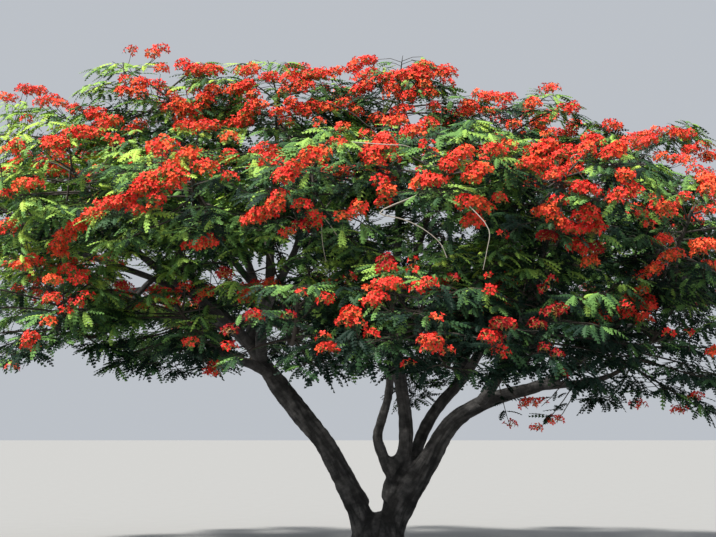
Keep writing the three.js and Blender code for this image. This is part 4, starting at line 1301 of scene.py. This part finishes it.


# greens from painted deep shade up to painted sunlight: each spray takes the one its painted light and chance
# reach
leafColours = {
    "leafShade": (0.009, 0.027, 0.017),
    "leafDeep": (0.036, 0.088, 0.034),
    "leafMiddle": (0.126, 0.258, 0.066),
    "leafBright": (0.275, 0.450, 0.085),
    "leafYoungAndSunlit": (0.400, 0.560, 0.090),
}
leafFrom = [0.16, 0.48, 0.80, 1.12]  # the light at which each colour but the first begins
# reds from orange to crimson: chance and painted shade choose among them, the darker ones for heads in shade
petalColours = {
    "petalScarlet": (0.85, 0.060, 0.038),
    "petalOrange": (0.93, 0.118, 0.040),
    "petalRed": (0.72, 0.030, 0.023),
    "petalCrimson": (0.30, 0.008, 0.011),
}
leafMaterials = [grainyMaterial(name, colour, 55, 0.50, 0.74, 0.004, Specular_IOR_Level=0.16)
                 for name, colour in leafColours.items()]
petalMaterials = [grainyMaterial(name, colour, 90, 0.55, 0.8, 0.003, Specular_IOR_Level=0.2)
                  for name, colour in petalColours.items()]
standardMaterial = grainyMaterial("petalStandard", (0.78, 0.52, 0.30), 90, 0.5, 0.75, 0.003)
sepalMaterial = grainyMaterial("sepalGreen", (0.34, 0.19, 0.04), 80, 0.5, 0.75, 0.003)
twigMaterial = grainyMaterial("twigBark", (0.048, 0.038, 0.030), 60, 0.7, 0.95, 0.004)
paleTwigMaterial = grainyMaterial("paleTwigBark", (0.35, 0.32, 0.27), 60, 0.7, 0.95, 0.004)

# the greys are the bark's own grey-brown darkened further, as painted shade of the crown over trunk and limbs
barkFinish = {
    "patches": 6.5, "rings": (3.0, 26.0, 1.0), "fibres": (24.0, 3.2, 1.0),
    "dark": (0.034, 0.033, 0.033), "middle": (0.076, 0.072, 0.070), "pale": (0.135, 0.128, 0.122),
    "lineShades": (0.74, 1.20), "paintedReliefShading": (0.34, 1.30), "depth": 0.009,
    "grain": {"Scale": 120.0, "Detail": 6.0, "Smoothest": 0.72, "Roughest": 0.95},
}


# patches of three greys, darker in the lines, with painted shade in the hollows of the relief and painted
# light on its ridges
def barkMaterial():
    finish = barkFinish
    material, tree, shader, grainHeight = newMaterial("bark", finish["middle"], finish["grain"])
    place = addNode(tree, "ShaderNodeTexCoord").outputs["Object"]
    barkMap = outOf(tree, "ShaderNodeUVMap", uv_map="barkMap")

    def stretchedNoise(scale, **values):
        squeezed = outOf(tree, "ShaderNodeMapping", {"Vector": barkMap, "Scale": scale})
        return outOf(tree, "ShaderNodeTexNoise", {"Vector": squeezed, "Scale": 1.0, **values})

    def shadeBetween(value, low, high, shades):
        return outOf(tree, "ShaderNodeMapRange", {
            "Value": value, "From Min": low, "From Max": high, "To Min": shades[0], "To Max": shades[1]})

    patches = outOf(tree, "ShaderNodeTexNoise", {
        "Vector": place, "Scale": finish["patches"], "Detail": 8.0, "Roughness": 0.68})
    tones = addNode(tree, "ShaderNodeValToRGB", {"Fac": patches})
    ramp = tones.color_ramp
    ramp.elements[0].position, ramp.elements[0].color = 0.36, (*finish["dark"], 1)
    ramp.elements[1].position, ramp.elements[1].color = 0.70, (*finish["pale"], 1)
    ramp.elements.new(0.52).color = (*finish["middle"], 1)
    lines = maths(tree, "ADD", stretchedNoise(finish["rings"], Detail=4.0),
                  stretchedNoise(finish["fibres"], Detail=5.0, Distortion=0.6))
    relief = addNode(tree, "ShaderNodeAttribute", attribute_name="relief").outputs["Fac"]
    shade = maths(tree, "MULTIPLY", shadeBetween(lines, 0.80, 1.20, finish["lineShades"]),
                  shadeBetween(relief, 0.12, 0.78, finish["paintedReliefShading"]))
    toned = outOf(tree, "ShaderNodeVectorMath", {0: tones.outputs["Color"], "Scale": shade},
                  operation="SCALE")
    tree.links.new(toned, shader.inputs["Base Color"])
    addBump(tree, shader, maths(tree, "ADD", lines, grainHeight), finish["depth"], 0.9)
    return material


bark = barkMaterial()
for piece in (greatSkin, upperBoughs):
    piece.data.materials.append(bark)
print("materials made")


# The shapes that are dealt out

def pinnaBlade():
    return meshObject("pinna", [(pinna["root"], -0.5, pinna["fold"]), (1, 0, 0), (0, 0.5, 0)], [(0, 1, 2)])


def petalBlade(width, length, cup):
    places = [(0, 0, 0), (0.60 * length, -0.5 * width, cup), (0.60 * length, 0.5 * width, cup),
              (length, -0.22 * width, -0.1 * cup), (length, 0.22 * width, -0.1 * cup)]
    return meshObject("petal", places, [(0, 1, 2), (1, 3, 2), (2, 3, 4)])


def sepalBlade():
    return meshObject("sepal", [(0, -0.16, 0), (0, 0.16, 0), (1.1, 0, 0)], [(0, 2, 1)])


shelf = bpy.data.collections.new("shapes")
bpy.context.scene.collection.children.link(shelf)
whorl = whorlTree()


def shapeObject(name, source, tree, values):
    made = bpy.data.objects.new(name, grown(name, source, tree, values))
    shelf.objects.link(made)
    return made


frond = shapeObject("frondShape", pinnaBlade(), frondTree(), {**frondShape, "Material": leafMaterials[2]})
petals = shapeObject(
    "petalsShape", petalBlade(flowerShape["petalWidth"], 1.0, flowerShape["cup"]), whorl,
    {"Count": 5, "Missing": 1, "Rise": flowerShape["rise"], "Material": petalMaterials[0]})
standard = shapeObject(
    "standardShape", petalBlade(0.5, 0.95, 0.1), whorl,
    {"Count": 1, "Missing": 0, "Rise": 0.9, "Material": standardMaterial})
sepals = shapeObject(
    "sepalsShape", sepalBlade(), whorl, {"Count": 3, "Missing": 0, "Rise": -0.7, "Material": sepalMaterial})
print("frond faces:", len(frond.data.polygons), "petal faces:", len(petals.data.polygons))


def pointsObject(rows):
    made = meshObject("points", [row["place"] for row in rows])
    for field in ("heading", "facing", "size", "tint"):
        kind = "INT" if field == "tint" else "FLOAT_VECTOR"
        addAttribute(made.data, field, kind, [row[field] for row in rows])
    return made


# Leaves

leafScatter = scatterTree("leafScatter", leafMaterials)
# a head of flowers keeps the leaves from its outer side
headFinder = finderOf([
    place + levelUnit(place - crownMiddle) * frondSize["headAhead"] for place in headPlaces])


# the fronds clear of openings, heads, limbs and the skyline, and within the solids' box
def keptFronds(rows):
    roots, directions, lengths, luck = (
        np.array([row[field] for row in rows]) for field in ("place", "heading", "length", "luck"))
    middles = roots + directions * lengths[:, None] * 0.55
    tips = roots + directions * lengths[:, None]
    keep = ~inOpening(middles) | (luck < frondSize["leftInOpening"])
    keep &= (luck * 13) % 1 > frondSize["thinned"]  # the same draw, spread out again
    keep &= np.array([headFinder.find(middle)[2] for middle in middles]) > frondSize["clearOfHead"]
    keep &= (tips[:, 2] > frondSize["lowestTip"]) & (inFrontView(middles)[1] > frondSize["skyline"])
    for start in range(0, len(rows), 2000):
        block = slice(start, start + 2000)
        away = np.linalg.norm(middles[block][:, None] - limbPoints[None], axis=2) - limbRadii[None]
        keep[block] &= away.min(1) > frondSize["clearOfLimb"]
    low, high = np.array(cadLow) - frondSize["pastBox"], np.array(cadHigh) + frondSize["pastBox"]
    keep &= (tips > low).all(1) & (tips < high).all(1)
    return [row for row, kept in zip(rows, keep) if kept]


def leafRow(row):
    direction, length, luck = row["heading"], row["length"], row["luck"]
    across = unit(np.cross(direction, row["facing"]))
    facing = unit(np.cross(across, direction) + across * row["roll"])
    size = (length, length * mix(0.85, 1.1, luck), length * mix(0.4, 1.2, (luck * 7) % 1))
    tint = int(np.searchsorted(leafFrom, row["light"]))
    return {"place": row["place"], "heading": direction, "facing": facing, "size": size, "tint": tint}


pieces = []
for part in crownParts:
    rows = [leafRow(row) for row in keptFronds(fronds[part])]
    mesh = grown(f"leaves_{part}", pointsObject(rows), leafScatter, {"Shape": frond})
    pieces.append((newObject(f"leaves_{part}", mesh), "foliage", part))
    print("leaves", part, len(rows), len(mesh.polygons))


# Blossom made

petalScatter = scatterTree("petalScatter", petalMaterials)
standardScatter = scatterTree("standardScatter", [standardMaterial])
sepalScatter = scatterTree("sepalScatter", [sepalMaterial])


def joined(name, meshes):
    made = [newObject(name, mesh) for mesh in meshes]
    with bpy.context.temp_override(active_object=made[0], selected_editable_objects=made):
        bpy.ops.object.join()
    made[0].name = name
    return made[0]


for part in crownParts:
    rows = flowers[part]
    plain = [{**row, "tint": 0} for row in rows]
    pale = [row for row in plain if row["open"] > 0.7]
    blossom = joined(f"blossom_{part}", [
        grown("petals", pointsObject(rows), petalScatter, {"Shape": petals}),
        grown("standards", pointsObject(pale), standardScatter, {"Shape": standard}),
        grown("sepals", pointsObject(plain), sepalScatter, {"Shape": sepals})])
    pieces.append((blossom, "blossom", part))
    print("blossom", part, len(rows), len(blossom.data.polygons))


# Twigs made round

roundTwigs = roundTree()
for part, lines in twigLines.items():
    places, edges, thick = [], [], []
    for points, radii in lines:
        first = len(places)
        places += list(points)
        edges += [(first + k, first + k + 1) for k in range(len(points) - 1)]
        thick += list(radii)
    chain = meshObject("chain", places, (), edges)
    addAttribute(chain.data, "thickness", "FLOAT", thick)
    sides, material = (5, paleTwigMaterial) if part == "pale" else (3, twigMaterial)
    mesh = grown(f"twigs_{part}", chain, roundTwigs, {"Sides": sides, "Material": material})
    pieces.append((newObject(f"twigs_{part}", mesh), "bark", part))
    print("twigs", part, len(lines), len(mesh.polygons))

for shape in (frond, petals, standard, sepals):
    bpy.data.objects.remove(shape)
bpy.data.collections.remove(shelf)


# Each piece rides on the root body and stands for its solids

for piece, slotName, part in pieces:
    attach(piece, "root")
    carried = [f"{name}_foliage" for name, where in partOf.items()
               if where == part or (part == "pale" and where.startswith("front"))]
    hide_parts(*carried)

for piece, names in ((greatSkin, ["trunk", *mainLimbs]), (upperBoughs, [*mainLimbs, *sideBoughs])):
    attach(piece, "root")
    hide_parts(*names)


# Floor, light and camera

studio = {
    "floorHalf": 500.0, "floorColour": (0.30, 0.30, 0.295), "skyColour": (0.84, 0.89, 0.96),
    "skyStrength": 0.60, "sunStrength": 6.2, "sunAngle": 8.0, "sunTurn": (34.0, 0.0, -50.0),
    "sunColour": (1.0, 0.97, 0.92), "farthest": 1200,
}

reach = studio["floorHalf"]
floor = meshObject("floor", [(-reach, -reach, 0), (reach, -reach, 0), (reach, reach, 0), (-reach, reach, 0)],
                   [(0, 1, 2, 3)])
floor.data.materials.append(grainyMaterial("floorPaint", studio["floorColour"], 3, 0.8, 0.95, 0.001))

world = bpy.data.worlds.new("sky")
bpy.context.scene.world = world
world.use_nodes = True
backdrop = world.node_tree.nodes["Background"]
backdrop.inputs["Color"].default_value = (*studio["skyColour"], 1)
backdrop.inputs["Strength"].default_value = studio["skyStrength"]

sunData = bpy.data.lights.new("sun", "SUN")
sunData.energy = studio["sunStrength"]
sunData.angle = math.radians(studio["sunAngle"])
sunData.color = studio["sunColour"]
sun = newObject("sun", sunData)
sun.rotation_euler = [math.radians(a) for a in studio["sunTurn"]]

cameraData = bpy.data.cameras.new("view")
cameraData.sensor_width = camera["sensor"]
cameraData.sensor_fit = "HORIZONTAL"
cameraData.lens = camera["focalPixels"] * camera["sensor"] / camera["imageWidth"]
cameraData.clip_end = studio["farthest"]
viewer = newObject("view", cameraData)
viewer.location = camera["eye"]
viewer.rotation_euler = (math.radians(90 + camera["tiltUp"]), 0, 0)
bpy.context.scene.camera = viewer
bpy.context.scene.view_settings.view_transform = "Standard"

print("done")
